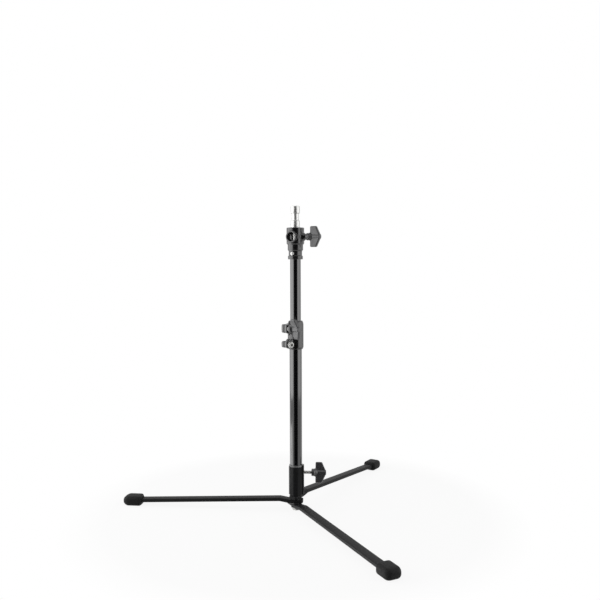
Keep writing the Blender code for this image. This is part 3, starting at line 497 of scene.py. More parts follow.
def settle(obj):
    """Apply an object's modifiers."""
    graph = bpy.context.evaluated_depsgraph_get()
    mesh = bpy.data.meshes.new_from_object(obj.evaluated_get(graph))
    former = obj.data
    obj.modifiers.clear()
    obj.data = mesh
    bpy.data.meshes.remove(former)
    return obj


def combine(obj, operation, *shapes):
    """Cut closed shapes out of an object, or join them on."""
    for bm in shapes:
        other = solid("other_shape", bm)
        boolean = obj.modifiers.new("shape", "BOOLEAN")
        boolean.operation = operation
        boolean.solver = "EXACT"
        boolean.object = other
        settle(obj)
        bpy.data.objects.remove(other)
    return obj


def placed(bm, place):
    bm.transform(place)
    return bm


def bevelled(bm, width, segments=3, angle=28.0):
    """The same shape with its sharp edges rounded."""
    obj = solid("bevelled", bm)
    bevel = obj.modifiers.new("edges", "BEVEL")
    bevel.width = width
    bevel.segments = segments
    bevel.limit_method = "ANGLE"
    bevel.angle_limit = math.radians(angle)
    settle(obj)
    result = bmesh.new()
    result.from_mesh(obj.data)
    bpy.data.objects.remove(obj)
    return result


def blended(name, shapes, smoothing):
    """One moulded or cast skin round overlapping shapes, with soft inner corners."""
    combined = bmesh.new()
    for bm in shapes:
        mesh = bpy.data.meshes.new(name)
        bm.to_mesh(mesh)
        bm.free()
        combined.from_mesh(mesh)
        bpy.data.meshes.remove(mesh)
    obj = solid(name, combined)
    remesh = obj.modifiers.new("skin", "REMESH")
    remesh.mode = "VOXEL"
    remesh.voxel_size = VOXEL
    smooth = obj.modifiers.new("soften", "SMOOTH")
    smooth.factor = 0.5
    smooth.iterations = smoothing
    return settle(obj)


def give_finish(obj, node):
    obj.data.materials.clear()
    obj.data.materials.append(SURFACES[SLOT_OF[node]])


def show(obj, node, place=None, sharp=SHARP):
    """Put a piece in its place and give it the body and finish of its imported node."""
    if place is not None:
        obj.data.transform(place)
    obj.data.shade_smooth()
    obj.data.set_sharp_from_angle(angle=math.radians(sharp))
    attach(obj, BODY_OF[node])
    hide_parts(node)
    give_finish(obj, node)


# Surfaces

def add_node(tree, kind, **settings):
    node = tree.nodes.new(f"ShaderNode{kind}")
    for name, value in settings.items():
        setattr(node, name, value)
    return node


def plug(tree, socket, value):
    """Link a socket to another one, or give it a value."""
    if isinstance(value, bpy.types.NodeSocket):
        tree.links.new(value, socket)
    else:
        socket.default_value = value


def feed(tree, node, *first, **named):
    """Plug a node's first sockets in their order, and others by name."""
    for socket, value in zip(node.inputs, first):
        plug(tree, socket, value)
    for name, value in named.items():
        plug(tree, node.inputs[name.replace("_", " ")], value)
    return node


def computed(tree, kind, operation, *values):
    """What a node of the kind Math or VectorMath works out."""
    return feed(tree, add_node(tree, kind, operation=operation), *values).outputs["Value"]


def own_space(tree):
    return add_node(tree, "TexCoord").outputs["Object"]


def noise(tree, scale, detail=3.0, stretch=(1.0, 1.0, 1.0), shift=0.0):
    """Noise in the piece's own space, in features per metre."""
    mapping = feed(tree, add_node(tree, "Mapping"), Vector=own_space(tree), Scale=stretch,
                   Location=(shift, shift, shift))
    texture = feed(tree, add_node(tree, "TexNoise"), Vector=mapping.outputs["Vector"],
                   Scale=scale, Detail=detail, Roughness=0.55)
    return texture.outputs["Fac"]


def spread(tree, factor, low, high, start=0.3, end=0.7):
    """Map a factor from start to end onto low to high."""
    node = feed(tree, add_node(tree, "MapRange"), Value=factor, From_Min=start,
                From_Max=end, To_Min=low, To_Max=high)
    return node.outputs["Result"]


# Numbers of the sockets for the factor, for what is mixed and for the result
MIX_SOCKETS = {"RGBA": (0, 6, 7, 2), "FLOAT": (0, 2, 3, 0)}


def mixed(tree, factor, first, second, kind="RGBA"):
    """Mix two colours, or two numbers where the kind is FLOAT."""
    node = add_node(tree, "Mix", data_type=kind)
    *sockets, result = MIX_SOCKETS[kind]
    for index, value in zip(sockets, (factor, first, second)):
        plug(tree, node.inputs[index], value)
    return node.outputs[result]


def wear_and_edge_highlight(tree, amount):
    """How much a spot lies on a convex or concave edge, from 0 to the amount, as wear and painted edge highlight.
    """
    softened = feed(tree, add_node(tree, "Bevel", samples=6), Radius=WEAR_AND_HIGHLIGHT_RADIUS)
    alike = computed(tree, "VectorMath", "DOT_PRODUCT", softened.outputs["Normal"],
                     add_node(tree, "NewGeometry").outputs["Normal"])
    edge = spread(tree, alike, amount, 0.0, *WEAR_AND_HIGHLIGHT_ALIKE)
    patches = spread(tree, noise(tree, WEAR_AND_HIGHLIGHT_PATCHES, 4.0, shift=3.0), WEAR_AND_HIGHLIGHT_LEAST, 1.0,
                     *WEAR_AND_HIGHLIGHT_PATCH_RANGE)
    return computed(tree, "Math", "MULTIPLY", edge, patches)


def new_material(name, **look):
    """A material, its node tree, and its shader with the sockets fed."""
    material = bpy.data.materials.new(name)
    material.use_nodes = True
    tree = material.node_tree
    return material, tree, feed(tree, tree.nodes["Principled BSDF"], **look)


def shaded(colour, factor):
    return (*(channel * factor for channel in colour), 1.0)


def grey(level):
    return (level, level, level, 1.0)


def surface(name, colour, roughness, metallic=0.0, ior=1.5, mottle=0.12, mottle_scale=90.0,
            variation=0.06, variation_scale=400.0, grain=2200.0, relief=0.00001,
            stretch=(1.0, 1.0, 1.0), edge=None):
    """A finish whose colour, roughness and relief vary at the sizes of the real one.

    mottle is the share by which the colour varies and variation the same for roughness.
    grain is the relief's features per metre and relief its depth. edge is the colour,
    roughness and amount of the lighter edges, partly wear and partly painted edge highlight.
    """
    finish, tree, shader = new_material(name)
    cloudy = noise(tree, mottle_scale, detail=4.0)
    tone = mixed(tree, spread(tree, cloudy, 0.0, 1.0), shaded(colour, 1.0 - mottle),
                 shaded(colour, 1.0 + mottle))
    rough = spread(tree, noise(tree, variation_scale, stretch=stretch, shift=1.7),
                   roughness - variation, roughness + variation)
    # Lighter edges: partly wear, partly painted edge highlight
    if edge is not None:
        edge_colour, edge_roughness, amount = edge
        wear_and_highlight = wear_and_edge_highlight(tree, amount)
        tone = mixed(tree, wear_and_highlight, tone, (*edge_colour, 1.0))
        rough = mixed(tree, wear_and_highlight, rough, edge_roughness, "FLOAT")
    relief_node = feed(tree, add_node(tree, "Bump"), Distance=relief, Strength=1.0,
                       Height=noise(tree, grain, 2.0, stretch, shift=5.0))
    feed(tree, shader, Base_Color=tone, Roughness=rough, Metallic=metallic, IOR=ior,
         Normal=relief_node.outputs["Normal"])
    return finish


# An edge entry gives lighter edges: partly wear, partly painted edge highlight.
LOOKS = {
    "tube_black": dict(
        colour=(0.0040, 0.0040, 0.0045), roughness=0.10, ior=1.85, variation=0.03,
        variation_scale=700.0, stretch=(1.0, 1.0, 0.05), grain=1500.0, relief=0.0000015),
    "leg_black": dict(
        colour=(0.012, 0.012, 0.0125), roughness=0.50, ior=1.20, variation=0.07,
        grain=2600.0, relief=0.000018, edge=((0.06, 0.06, 0.06), 0.35, 0.5)),
    "casting_black": dict(
        colour=(0.007, 0.007, 0.0075), roughness=0.19, ior=1.65, variation=0.05,
        grain=1700.0, relief=0.000008, edge=((0.05, 0.05, 0.05), 0.22, 0.45)),
    "socket_black": dict(
        colour=(0.010, 0.010, 0.0105), roughness=0.40, ior=1.20, relief=0.000012,
        edge=((0.11, 0.11, 0.11), 0.40, 0.6)),
    # Painted highlight: a lighter colour for the upward-facing faces of the socket's rim
    "socket_rim": dict(colour=(0.10, 0.10, 0.10), roughness=0.35, ior=1.45, relief=0.000008),
    "knob_black": dict(
        colour=(0.030, 0.030, 0.032), roughness=0.30, ior=1.6, mottle=0.06, variation=0.05,
        grain=3600.0),
    "foot_rubber": dict(
        colour=(0.011, 0.011, 0.011), roughness=0.60, ior=1.22, mottle=0.2,
        mottle_scale=160.0, variation=0.10, grain=3000.0, relief=0.000022),
    "nylon": dict(colour=(0.62, 0.62, 0.59), roughness=0.42, mottle=0.05, grain=1800.0,
                  relief=0.000008),
    "zinc_steel": dict(
        colour=(0.34, 0.34, 0.33), roughness=0.47, metallic=1.0, mottle=0.10,
        mottle_scale=220.0, variation=0.08, grain=2400.0, relief=0.000006),
    "bright_steel": dict(
        colour=(0.52, 0.52, 0.51), roughness=0.42, metallic=1.0, mottle=0.05,
        variation_scale=500.0, grain=900.0, relief=0.000003, stretch=(1.0, 1.0, 14.0)),
    "brass": dict(colour=(0.62, 0.45, 0.19), roughness=0.30, metallic=1.0, relief=0.000005),
}
SURFACES = {name: surface(name, **look) for name, look in LOOKS.items()}


# Legs and feet

def leg_height(which):
    return BOX[f"washer_under_{which}_leg"][1].z + GAP + LEG_THICKNESS / 2


def bent_path(corners, radius, steps):
    """Round the inner corners of a path with arcs. Gives (point, direction) pairs."""
    path = [(corners[0], (corners[1] - corners[0]).normalized())]
    for before, here, after in zip(corners, corners[1:], corners[2:]):
        way_in = (here - before).normalized()
        way_out = (after - here).normalized()
        turn = way_in.angle_signed(way_out)
        reach = radius * abs(math.tan(turn / 2))
        side = Vector((-way_in.y, way_in.x)) * (-1 if turn > 0 else 1)
        centre = here - way_in * reach + side * radius
        for step in range(steps + 1):
            swing = Matrix.Rotation(-turn * step / steps, 2)
            path.append((centre + swing @ (-side * radius), swing @ way_in))
    path.append((corners[-1], way_out))
    return path


def bar_section(point, way, half_width, half_thickness, edge=LEG_EDGE):
    """A rounded rectangle square to the bar, as points in the leg's frame."""
    corners = box_outline(-half_width, half_width, -half_thickness, half_thickness)
    return [(point.x - up * way.y, across, point.y + up * way.x)
            for across, up in rounded(corners, edge)]


def make_leg(which):
    height = leg_height(which)
    place = turned_matrix(LEG_AZIMUTH[which], height)
    tail = LEG_TAIL[which]
    corners = [Vector((-tail, 0.0)), Vector((LEG_FLAT, 0.0)),
               Vector((LEG_RISE_END, LEG_RISE)), Vector((LEG_REACH, FOOT_HEIGHT / 2 - height))]
    path = bent_path(corners, LEG_BEND, 8)
    half_width = LEG_WIDTH / 2
    half = LEG_THICKNESS / 2
    level = path[0][1]
    sections = []
    for along, width, thickness in ((0.0, half_width - LEG_CORNER - EDGE, half - EDGE),
                                    (EDGE, half_width - LEG_CORNER, half),
                                    (LEG_CORNER, half_width - EDGE / 2, half),
                                    (LEG_CORNER + EDGE, half_width, half)):
        sections.append(bar_section(corners[0] + level * along, level, width, thickness))
    sections += [bar_section(point, way, half_width, half) for point, way in path[1:]]
    bar = solid(f"leg_{which}_bar", lofted(sections))
    mouth = LEG_HOLE + EDGE
    hole = [(0.0, -half - EDGE), (mouth, -half - EDGE), (mouth, -half), (LEG_HOLE, EDGE - half),
            (LEG_HOLE, half - EDGE), (mouth, half), (mouth, half + EDGE), (0.0, half + EDGE)]
    combine(bar, "DIFFERENCE", turned(hole, SMALL_FACETS))
    show(bar, f"leg_{which}", place=place)
    make_foot(which, place, -height, path[-1])


def arc_shares(degrees, steps):
    """How far along and how far in an arc is at each step, as shares of the whole."""
    end = math.radians(degrees)
    angles = [end * step / steps for step in range(steps + 1)]
    return [(math.sin(angle) / math.sin(end), (1 - math.cos(angle)) / (1 - math.cos(end)))
            for angle in angles]


def make_foot(which, place, floor, bar_end):
    """A moulded rubber cap with a rounded nose and a pocket for the bar."""
    heel = LEG_REACH - FOOT_GRIP
    nose = heel + FOOT_LENGTH
    stations = []
    for along, curve in reversed(arc_shares(FOOT_HEEL_ARC, 5)):
        stations.append((heel + FOOT_HEEL * (1 - along), curve * FOOT_HEEL_INSET,
                         curve * FOOT_HEEL_DROP))
    for along, curve in arc_shares(FOOT_NOSE_ARC, 12):
        stations.append((nose - FOOT_NOSE * (1 - along), curve * FOOT_NOSE_INSET,
                         curve * FOOT_NOSE_DROP))
    sections = []
    for along, inset, drop in stations:
        corners = box_outline(inset - FOOT_WIDTH / 2, FOOT_WIDTH / 2 - inset,
                              floor + drop, floor + FOOT_HEIGHT - drop)
        sections.append([(along, across, up)
                         for across, up in rounded(corners, FOOT_CORNER, 8)])
    foot = solid(f"foot_{which}_cap", lofted(sections))
    point, way = bar_end
    start, end = point - way * 2 * FOOT_GRIP, point + way * GAP
    pocket = [bar_section(spot, way, LEG_WIDTH / 2 + GAP, LEG_THICKNESS / 2 + GAP,
                          LEG_EDGE + GAP) for spot in (start, end)]
    combine(foot, "DIFFERENCE", lofted(pocket))
    show(foot, f"foot_{which}", place=place)


# Hub and socket

def hex_head(name, across, start, end, both_ends, along_x=False):
    """A hexagon with the usual turned chamfer at its start, or at both ends."""
    flat = across / 2 * HEX_FLAT
    outer = across / math.sqrt(3) * HEX_CUTTER
    rise = (outer - flat) * math.tan(math.radians(HEX_CHAMFER))
    corners = [(0.0, start), (flat, start), (outer, start + rise)]
    corners += [(outer, end - rise), (flat, end)] if both_ends else [(outer, end)]
    past = OVERSHOOT / 2
    head = solid(name, prism(rounded(hexagon(across), EDGE), start - past, end + past,
                             "YZ" if along_x else "XY"))
    cutter = turned(turned_outline([*corners, (0.0, end)], 0.0), HEX_FACETS, along_x)
    return combine(head, "INTERSECT", cutter)


def make_hub():
    low, high = BOX["hub_bolt"]
    head_top = low.z + BOLT_HEAD_HEIGHT
    bolt = hex_head("hub_bolt_steel", BOLT_HEAD_ACROSS, low.z, head_top, both_ends=False)
    shank = threaded(BOLT_RADIUS, BOLT_PITCH, head_top - BOLT_SHANK_IN, high.z)
    combine(bolt, "UNION", placed(shank, Matrix.Rotation(-math.pi / 2, 4, "Y")))
    show(bolt, "hub_bolt")
    for which in LEG_AZIMUTH:
        low, high = BOX[f"washer_under_{which}_leg"]
        washer = solid(f"washer_{which}", ring(WASHER_BORE, high.x, low.z, high.z,
                                               WASHER_EDGE))
        show(washer, f"washer_under_{which}_leg")


def socket_section(height):
    """The ribbed outside of the socket at one height."""
    cone = SOCKET_BORE + GAP + (SOCKET_TOP - height) * (
        (SOCKET_RADIUS - SOCKET_BORE - GAP) / SOCKET_CHAMFER)
    foot = SOCKET_RADIUS - max(0.0, SOCKET_BOTTOM + BOSS_DOWN - height)
    half = SOCKET_RIB_WIDTH / 2 / SOCKET_RADIUS
    points = []
    for turn in turns(RIBBED_FACETS):
        nearest = round(turn / (2 * math.pi) * SOCKET_RIBS)
        away = abs(turn - nearest * 2 * math.pi / SOCKET_RIBS) / half
        # A rib is flat over half of its width
        lift = SOCKET_RIB_HEIGHT * min(1.0, max(0.0, 2.0 * (1.0 - away)))
        reach = min(foot + lift, cone)
        points.append((reach * math.cos(turn), reach * math.sin(turn), height))
    return points


def make_socket():
    heights = [SOCKET_BOTTOM, SOCKET_BOTTOM + BOSS_DOWN / 2, SOCKET_BOTTOM + BOSS_DOWN]
    heights += [SOCKET_TOP - SOCKET_CHAMFER * share for share in SOCKET_CHAMFER_LEVELS]
    heights.append(SOCKET_TOP)
    socket = solid("base_socket_casting", lofted([socket_section(z) for z in heights]))
    half = BOSS_WIDTH / 2
    corner = BOSS_REACH - SOCKET_RADIUS
    inner = SOCKET_RADIUS - SOCKET_WALL / 2
    boss = [(inner, -half), (BOSS_REACH - corner, -half), (BOSS_REACH, corner - half),
            (BOSS_REACH, half - corner), (BOSS_REACH - corner, half), (inner, half)]
    combine(socket, "UNION", bevelled(prism(boss, SOCKET_BOTTOM + BOSS_DOWN,
                                            SOCKET_TOP - BOSS_DOWN), EDGE))
    floor_top = SOCKET_BOTTOM + SOCKET_FLOOR
    ledge = SOCKET_BOTTOM + SOCKET_STEP
    nut_room = LOWER_RADIUS - TUBE_WALL - GAP
    bore = [(0.0, SOCKET_BOTTOM - OVERSHOOT), (LEG_HOLE, SOCKET_BOTTOM - OVERSHOOT),
            (LEG_HOLE, floor_top), (nut_room, floor_top), (nut_room, ledge),
            (SOCKET_BORE, ledge), (SOCKET_BORE, SOCKET_TOP + OVERSHOOT),
            (0.0, SOCKET_TOP + OVERSHOOT)]
    screw_height = JOINTS["base_knob_turn"]["pos_m"][2]
    hole = placed(rod(SCREW_HOLE, LOWER_RADIUS - TUBE_WALL, BOSS_REACH + OVERSHOOT),
                  Matrix.Translation((0.0, 0.0, screw_height)))
    combine(socket, "DIFFERENCE", turned(bore), hole)
    show(socket, "base_socket")
    # Painted highlight: the upward-facing faces of the chamfer round the mouth get a lighter colour
    socket.data.materials.append(SURFACES["socket_rim"])
    for face in socket.data.polygons:
        if face.center.z > SOCKET_TOP - SOCKET_CHAMFER and face.normal.z > SOCKET_PAINTED_HIGHLIGHT_SLOPE:
            face.material_index = 1


# Tubes

def make_tube(node):
    low, high = BOX[node]
    outer = high.x
    inner = outer - TUBE_WALL
    corners = [(inner, low.z), (outer, low.z), (outer, high.z), (inner, high.z)]
    if node == "upper_tube":
        hidden = HEAD_BOTTOM + HEAD_LIP
        corners = [*corners[:2], (outer, hidden, 0.0), *corners[2:], (inner, hidden, 0.0)]
    tube = solid(f"{node}_steel", turned(turned_outline(corners)))
    if node == "upper_tube":
        place = turned_matrix(azimuth_of("head_knob_turn") - 90.0, HEAD_BOTTOM + RIVET_UP)
        combine(tube, "DIFFERENCE", placed(rod(RIVET_SHANK + GAP, -outer * 2, outer * 2),
                                           place))
    show(tube, node)


# Knobs and screws

def make_knob(which):
    """A moulded T-knob and its threaded screw. Both run along +X of the screw's place."""
    place = screw_place(f"{which}_knob_turn")
    start = KNOB_START[which]
    half = KNOB_SPAN / 2
    wings = [(KNOB_HUB_LENGTH, -half), (KNOB_SHOULDER, -half),
             (KNOB_LENGTH, -KNOB_TIP, KNOB_TIP_CORNER), (KNOB_LENGTH, KNOB_TIP, KNOB_TIP_CORNER),
             (KNOB_SHOULDER, half), (KNOB_HUB_LENGTH, half)]
    wing_shape = bevelled(prism(rounded(wings, KNOB_CORNER, 5), -KNOB_THICKNESS / 2,
                                KNOB_THICKNESS / 2, "XZ"), KNOB_ROUND, segments=5, angle=40.0)
    for vertex in wing_shape.verts:
        vertex.co.y *= 1.0 - KNOB_THINNING * (abs(vertex.co.z) / half) ** KNOB_THINNING_POWER
    end = KNOB_LENGTH + KNOB_SPINE_OUT
    hub = turned(turned_outline([
        (0.0, 0.0), (KNOB_HUB_RADIUS, 0.0, KNOB_FACE_CORNER),
        (KNOB_HUB_RADIUS, KNOB_STEM, KNOB_HOLLOW),
        (KNOB_HUB_RADIUS + KNOB_FLARE, KNOB_HUB_LENGTH + KNOB_FLARE_UP, KNOB_FLARE_CORNER),
        (KNOB_SPINE_RADIUS, KNOB_HUB_LENGTH + KNOB_SPINE_UP, KNOB_HOLLOW),
        (KNOB_SPINE_RADIUS, end, KNOB_SPINE_CORNER), (0.0, end)]), SMALL_FACETS, True)
    knob = blended(f"{which}_knob_moulding", [wing_shape, hub], 5)
    combine(knob, "DIFFERENCE", rod(SCREW_HOLE, -OVERSHOOT, KNOB_BORE_DEPTH))
    turn = Matrix.Rotation(math.radians(KNOB_TURN[which]), 4, "X")
    show(knob, f"{which}_knob", sharp=CAST_SHARP,
         place=place @ Matrix.Translation((start, 0.0, 0.0)) @ turn)
    screw = solid(f"{which}_screw_thread", threaded(SCREW_RADIUS, SCREW_PITCH,
                                                    SCREW_START[which],
                                                    start + KNOB_BORE_DEPTH - GAP))
    show(screw, f"{which}_screw", place=place)


# Clamp casting

def ear(tip_low, tip_high, root_low, root_high):
    """One clamp lug, with curved roots where it leaves the body."""
    inside = UPPER_RADIUS / 2
    root = CLAMP_RADIUS + EAR_SHOULDER
    corners = [(inside, root_low, 0.0), (CLAMP_RADIUS, root_low, EAR_ROOT_CORNER),
               (root, tip_low, EAR_SHOULDER_CORNER), (EAR_TIP, tip_low), (EAR_TIP, tip_high),
               (root, tip_high, EAR_SHOULDER_CORNER),
               (CLAMP_RADIUS, root_high, EAR_ROOT_CORNER), (inside, root_high, 0.0)]
    return bevelled(prism(rounded(corners, EAR_CORNER, 6), -EAR_WIDTH / 2, EAR_WIDTH / 2,
                          "XZ"), EAR_ROUND, segments=4, angle=50.0)


def clamp_body():
    """The turned body with its domed top and chamfered foot, from the shoulder at z = 0."""
    bottom, top = CLAMP_BOTTOM - SHOULDER, CLAMP_TOP - SHOULDER
    lip = UPPER_RADIUS + GAP + CLAMP_LIP_WALL
    outline = [(0.0, bottom), (CLAMP_RADIUS - CLAMP_CHAMFER_IN, bottom),
               (CLAMP_RADIUS, bottom + CLAMP_CHAMFER)]
    for step in range(CLAMP_TAPER_STEPS + 1):
        angle = math.radians(CLAMP_TAPER_ARC * step / CLAMP_TAPER_STEPS)
        outline.append((lip + (CLAMP_RADIUS - lip) * math.cos(angle),
                        top - CLAMP_TAPER * (1 - math.sin(angle))))
    return turned(outline + [(0.0, top)])


def lug_axis(height):
    """The screw axis across two lugs, at a height from the shoulder."""
    return Matrix.Translation((CLAMP_SCREW_OUT, 0.0, height)) @ turned_matrix(90.0)


def make_clamp():
    place = turned_matrix(azimuth_of("clamp_knob_turn") - 90.0, SHOULDER)
    bottom, top = CLAMP_BOTTOM - SHOULDER, CLAMP_TOP - SHOULDER
    upper = ear(CLAMP_SCREW_UP - UPPER_EAR_TIP, CLAMP_SCREW_UP + UPPER_EAR_TIP,
                CLAMP_SCREW_UP - UPPER_EAR_ROOT[0], CLAMP_SCREW_UP + UPPER_EAR_ROOT[1])
    lower = ear(-CLAMP_BOLT_DOWN - LOWER_EAR_TIP[0], -CLAMP_BOLT_DOWN + LOWER_EAR_TIP[1],
                bottom + LOWER_EAR_UP, -CLAMP_BOLT_DOWN + LOWER_EAR_ROOT)
    casting = blended("clamp_body", [clamp_body(), upper, lower], 6)
    bore = UPPER_RADIUS + GAP
    bores = turned([
        (0.0, bottom - OVERSHOOT), (SOCKET_BORE, bottom - OVERSHOOT), (SOCKET_BORE, 0.0),
        (bore, 0.0), (bore, CLAMP_SHOULDER), (CLAMP_BUSH_BORE, CLAMP_SHOULDER),
        (CLAMP_BUSH_BORE, top - CLAMP_LIP), (bore, top - CLAMP_LIP), (bore, top + OVERSHOOT),
        (0.0, top + OVERSHOOT)])
    through = 2 * EAR_TIP
    slit = box_outline(0.0, through, -CLAMP_SLIT / 2, CLAMP_SLIT / 2)
    upper_slit = prism(slit, -CLAMP_BRIDGE_DOWN, top + OVERSHOOT)
    lower_slit = prism(slit, bottom - OVERSHOOT, -CLAMP_BRIDGE_DOWN - CLAMP_BRIDGE)
    combine(casting, "DIFFERENCE", bores, upper_slit, lower_slit)
    pocket_floor = POCKET_DEPTH - EAR_WIDTH / 2
    for height in (CLAMP_SCREW_UP, -CLAMP_BOLT_DOWN):
        axis = lug_axis(height)
        pocket = prism(hexagon(NUT_ACROSS + 2 * GAP), -through, pocket_floor, "YZ")
        combine(casting, "DIFFERENCE", placed(rod(SCREW_HOLE, -through, through), axis),
                placed(pocket, axis))
    show(casting, "clamp_casting", place=place, sharp=CAST_SHARP)

    nut_end = pocket_floor - GAP
    for name, height in (("clamp_knob_nut", CLAMP_SCREW_UP), ("clamp_nut", -CLAMP_BOLT_DOWN)):
        nut = hex_head(f"{name}_steel", NUT_ACROSS, nut_end - NUT_HEIGHT, nut_end,
                       both_ends=True, along_x=True)
        combine(nut, "DIFFERENCE", rod(SCREW_HOLE, nut_end - 2 * NUT_HEIGHT,
                                       nut_end + NUT_HEIGHT))
        show(nut, name, place=place @ lug_axis(height))
    make_cap_screw(place @ lug_axis(-CLAMP_BOLT_DOWN), EAR_WIDTH / 2 + GAP,
                   nut_end - NUT_HEIGHT - SCREW_STAND_OUT)
    make_washer(place @ lug_axis(CLAMP_SCREW_UP))


def make_washer(axis):
    start = EAR_WIDTH / 2 + GAP
    washer = solid("clamp_washer_steel", ring(SCREW_HOLE, CLAMP_WASHER_RADIUS, start,
                                              start + CLAMP_WASHER_THICKNESS, WASHER_EDGE,
                                              along_x=True))
    show(washer, "clamp_washer", place=axis)


def make_cap_screw(axis, start, shank_start):
    """A socket-head screw with a knurled head."""
    end = start + CAP_HEIGHT
    sections = []
    for along, inset, depth in (
            (start, 0.0, 0.0), (start + CAP_KNURL_LOW, 0.0, 1.0),
            (end - CAP_KNURL_HIGH, 0.0, 1.0), (end - CAP_CHAMFER, 0.0, 0.0),
            (end - CAP_ROUND, CAP_ROUND, 0.0), (end, CAP_CHAMFER, 0.0)):
        points = []
        for turn in turns(6 * CAP_KNURLS):
            groove = abs(math.sin(turn * CAP_KNURLS / 2)) * CAP_KNURL_DEPTH * depth
            reach = CAP_RADIUS - inset - CAP_KNURL_DEPTH * depth + groove
            points.append((along, reach * math.cos(turn), reach * math.sin(turn)))
        sections.append(points)
    screw = solid("clamp_bolt_steel", lofted(sections))
    combine(screw, "UNION", threaded(SCREW_RADIUS, SCREW_PITCH, shank_start,
                                     start + CAP_HEIGHT / 3))
    combine(screw, "DIFFERENCE", prism(hexagon(CAP_KEY_ACROSS), end - CAP_KEY_DEPTH,
                                       end + OVERSHOOT, "YZ"))
    show(screw, "clamp_bolt", place=axis)


# Head casting

def make_head():
    top = HEAD_TOP - HEAD_BOTTOM
    place = turned_matrix(azimuth_of("head_knob_turn") - 90.0, HEAD_BOTTOM)
    bore_height = JOINTS["head_knob_turn"]["pos_m"][2] - HEAD_BOTTOM
    stud_bore = BOX["stud"][1].x + GAP
    body = turned(turned_outline([
        (0.0, 0.0), (HEAD_LIP_RADIUS, 0.0), (HEAD_LIP_RADIUS, HEAD_LIP),
        (HEAD_NECK_RADIUS, HEAD_LIP + HEAD_LIP_SLOPE),
        (HEAD_NECK_RADIUS, HEAD_NECK_TOP - HEAD_STEP, HEAD_HOLLOW),
        (HEAD_COLLAR_RADIUS, HEAD_NECK_TOP + HEAD_STEP, HEAD_SWELL),
        (HEAD_COLLAR_RADIUS, HEAD_COLLAR_TOP - HEAD_STEP, HEAD_HOLLOW),
        (HEAD_RADIUS, HEAD_COLLAR_TOP + HEAD_STEP, HEAD_SWELL), (HEAD_RADIUS, top),
        (0.0, top)], HEAD_CORNER))
    cross = Matrix.Translation((0.0, 0.0, bore_height))
    rim = CROSS_BORE_RADIUS + CROSS_BORE_MOUTH + CROSS_RIM_WALL
    rims = placed(rod(rim, -CROSS_RIM_REACH, CROSS_RIM_REACH, FACETS, edge=CROSS_RIM_EDGE),
                  cross)
    boss = turned(turned_outline([
        (0.0, 0.0), (SCREW_BOSS_BASE, 0.0), (SCREW_BOSS_BASE, HEAD_RADIUS, SCREW_BOSS_CURVE),
        (SCREW_BOSS_TIP, SCREW_BOSS_REACH, SCREW_BOSS_CORNER), (0.0, SCREW_BOSS_REACH)]),
        SMALL_FACETS, True)
    screw_axis = cross @ turned_matrix(90.0)
    casting = blended("head_body", [body, rims, placed(boss, screw_axis)], 5)
    floor_top = HEAD_TUBE_DEPTH + HEAD_FLOOR
    mouth = stud_bore + STUD_MOUTH
    stud_hole = turned([(0.0, floor_top), (stud_bore, floor_top),
                        (stud_bore, top - STUD_MOUTH), (mouth, top),
                        (mouth, top + OVERSHOOT), (0.0, top + OVERSHOOT)])
    mouth = CROSS_BORE_RADIUS + CROSS_BORE_MOUTH
    inset = CROSS_RIM_REACH - CROSS_BORE_MOUTH
    end = CROSS_RIM_REACH + OVERSHOOT
    cross_hole = turned([
        (0.0, -end), (mouth, -end), (mouth, -CROSS_RIM_REACH), (CROSS_BORE_RADIUS, -inset),
        (CROSS_BORE_RADIUS, inset), (mouth, CROSS_RIM_REACH), (mouth, end), (0.0, end)],
        FACETS, True)
    rivet_axis = Matrix.Translation((0.0, 0.0, RIVET_UP))
    combine(casting, "DIFFERENCE",
            rod(UPPER_RADIUS + GAP, -OVERSHOOT, HEAD_TUBE_DEPTH, FACETS, along_x=False),
            stud_hole, placed(cross_hole, cross),
            placed(rod(SCREW_HOLE, 0.0, 2 * HEAD_RADIUS), screw_axis),
            placed(rod(RIVET_SHANK + GAP, -2 * HEAD_RADIUS, 2 * HEAD_RADIUS), rivet_axis))
    show(casting, "head_casting", place=place, sharp=CAST_SHARP)
    for name, turn in (("front", 0.0), ("back", 180.0)):
        make_rivet(name, place @ rivet_axis @ turned_matrix(turn))
    make_stud()


def make_rivet(name, axis):
    """A blind rivet: domed head with a drawn-in mandrel hole, and a tail in the tube."""
    seat = HEAD_NECK_RADIUS + GAP
    tail_end = UPPER_RADIUS - TUBE_WALL - RIVET_TAIL_IN
    tail_start = tail_end - RIVET_TAIL_LENGTH
    outline = [(0.0, tail_start), (RIVET_TAIL - RIVET_TAIL_CHAMFER, tail_start),
               (RIVET_TAIL, tail_start + RIVET_TAIL_CHAMFER), (RIVET_TAIL, tail_end),
               (RIVET_SHANK, tail_end), (RIVET_SHANK, seat), (RIVET_RADIUS, seat)]
    for step in range(1, RIVET_DOME_STEPS + 1):
        angle = math.radians(RIVET_DOME_ARC * step / RIVET_DOME_STEPS)
        outline.append((RIVET_RADIUS * math.cos(angle),
                        seat + RIVET_DOME * math.sin(angle)))
    dome_top = seat + RIVET_DOME * RIVET_DOME_TOP
    outline += [(RIVET_DIMPLE, dome_top),
                (RIVET_DIMPLE - RIVET_DIMPLE_TAPER, dome_top - RIVET_DIMPLE_DEPTH),
                (0.0, dome_top - RIVET_MANDREL)]
    rivet = solid(f"head_rivet_{name}_steel", turned(outline, SMALL_FACETS, True))
    show(rivet, f"head_rivet_{name}", place=axis)


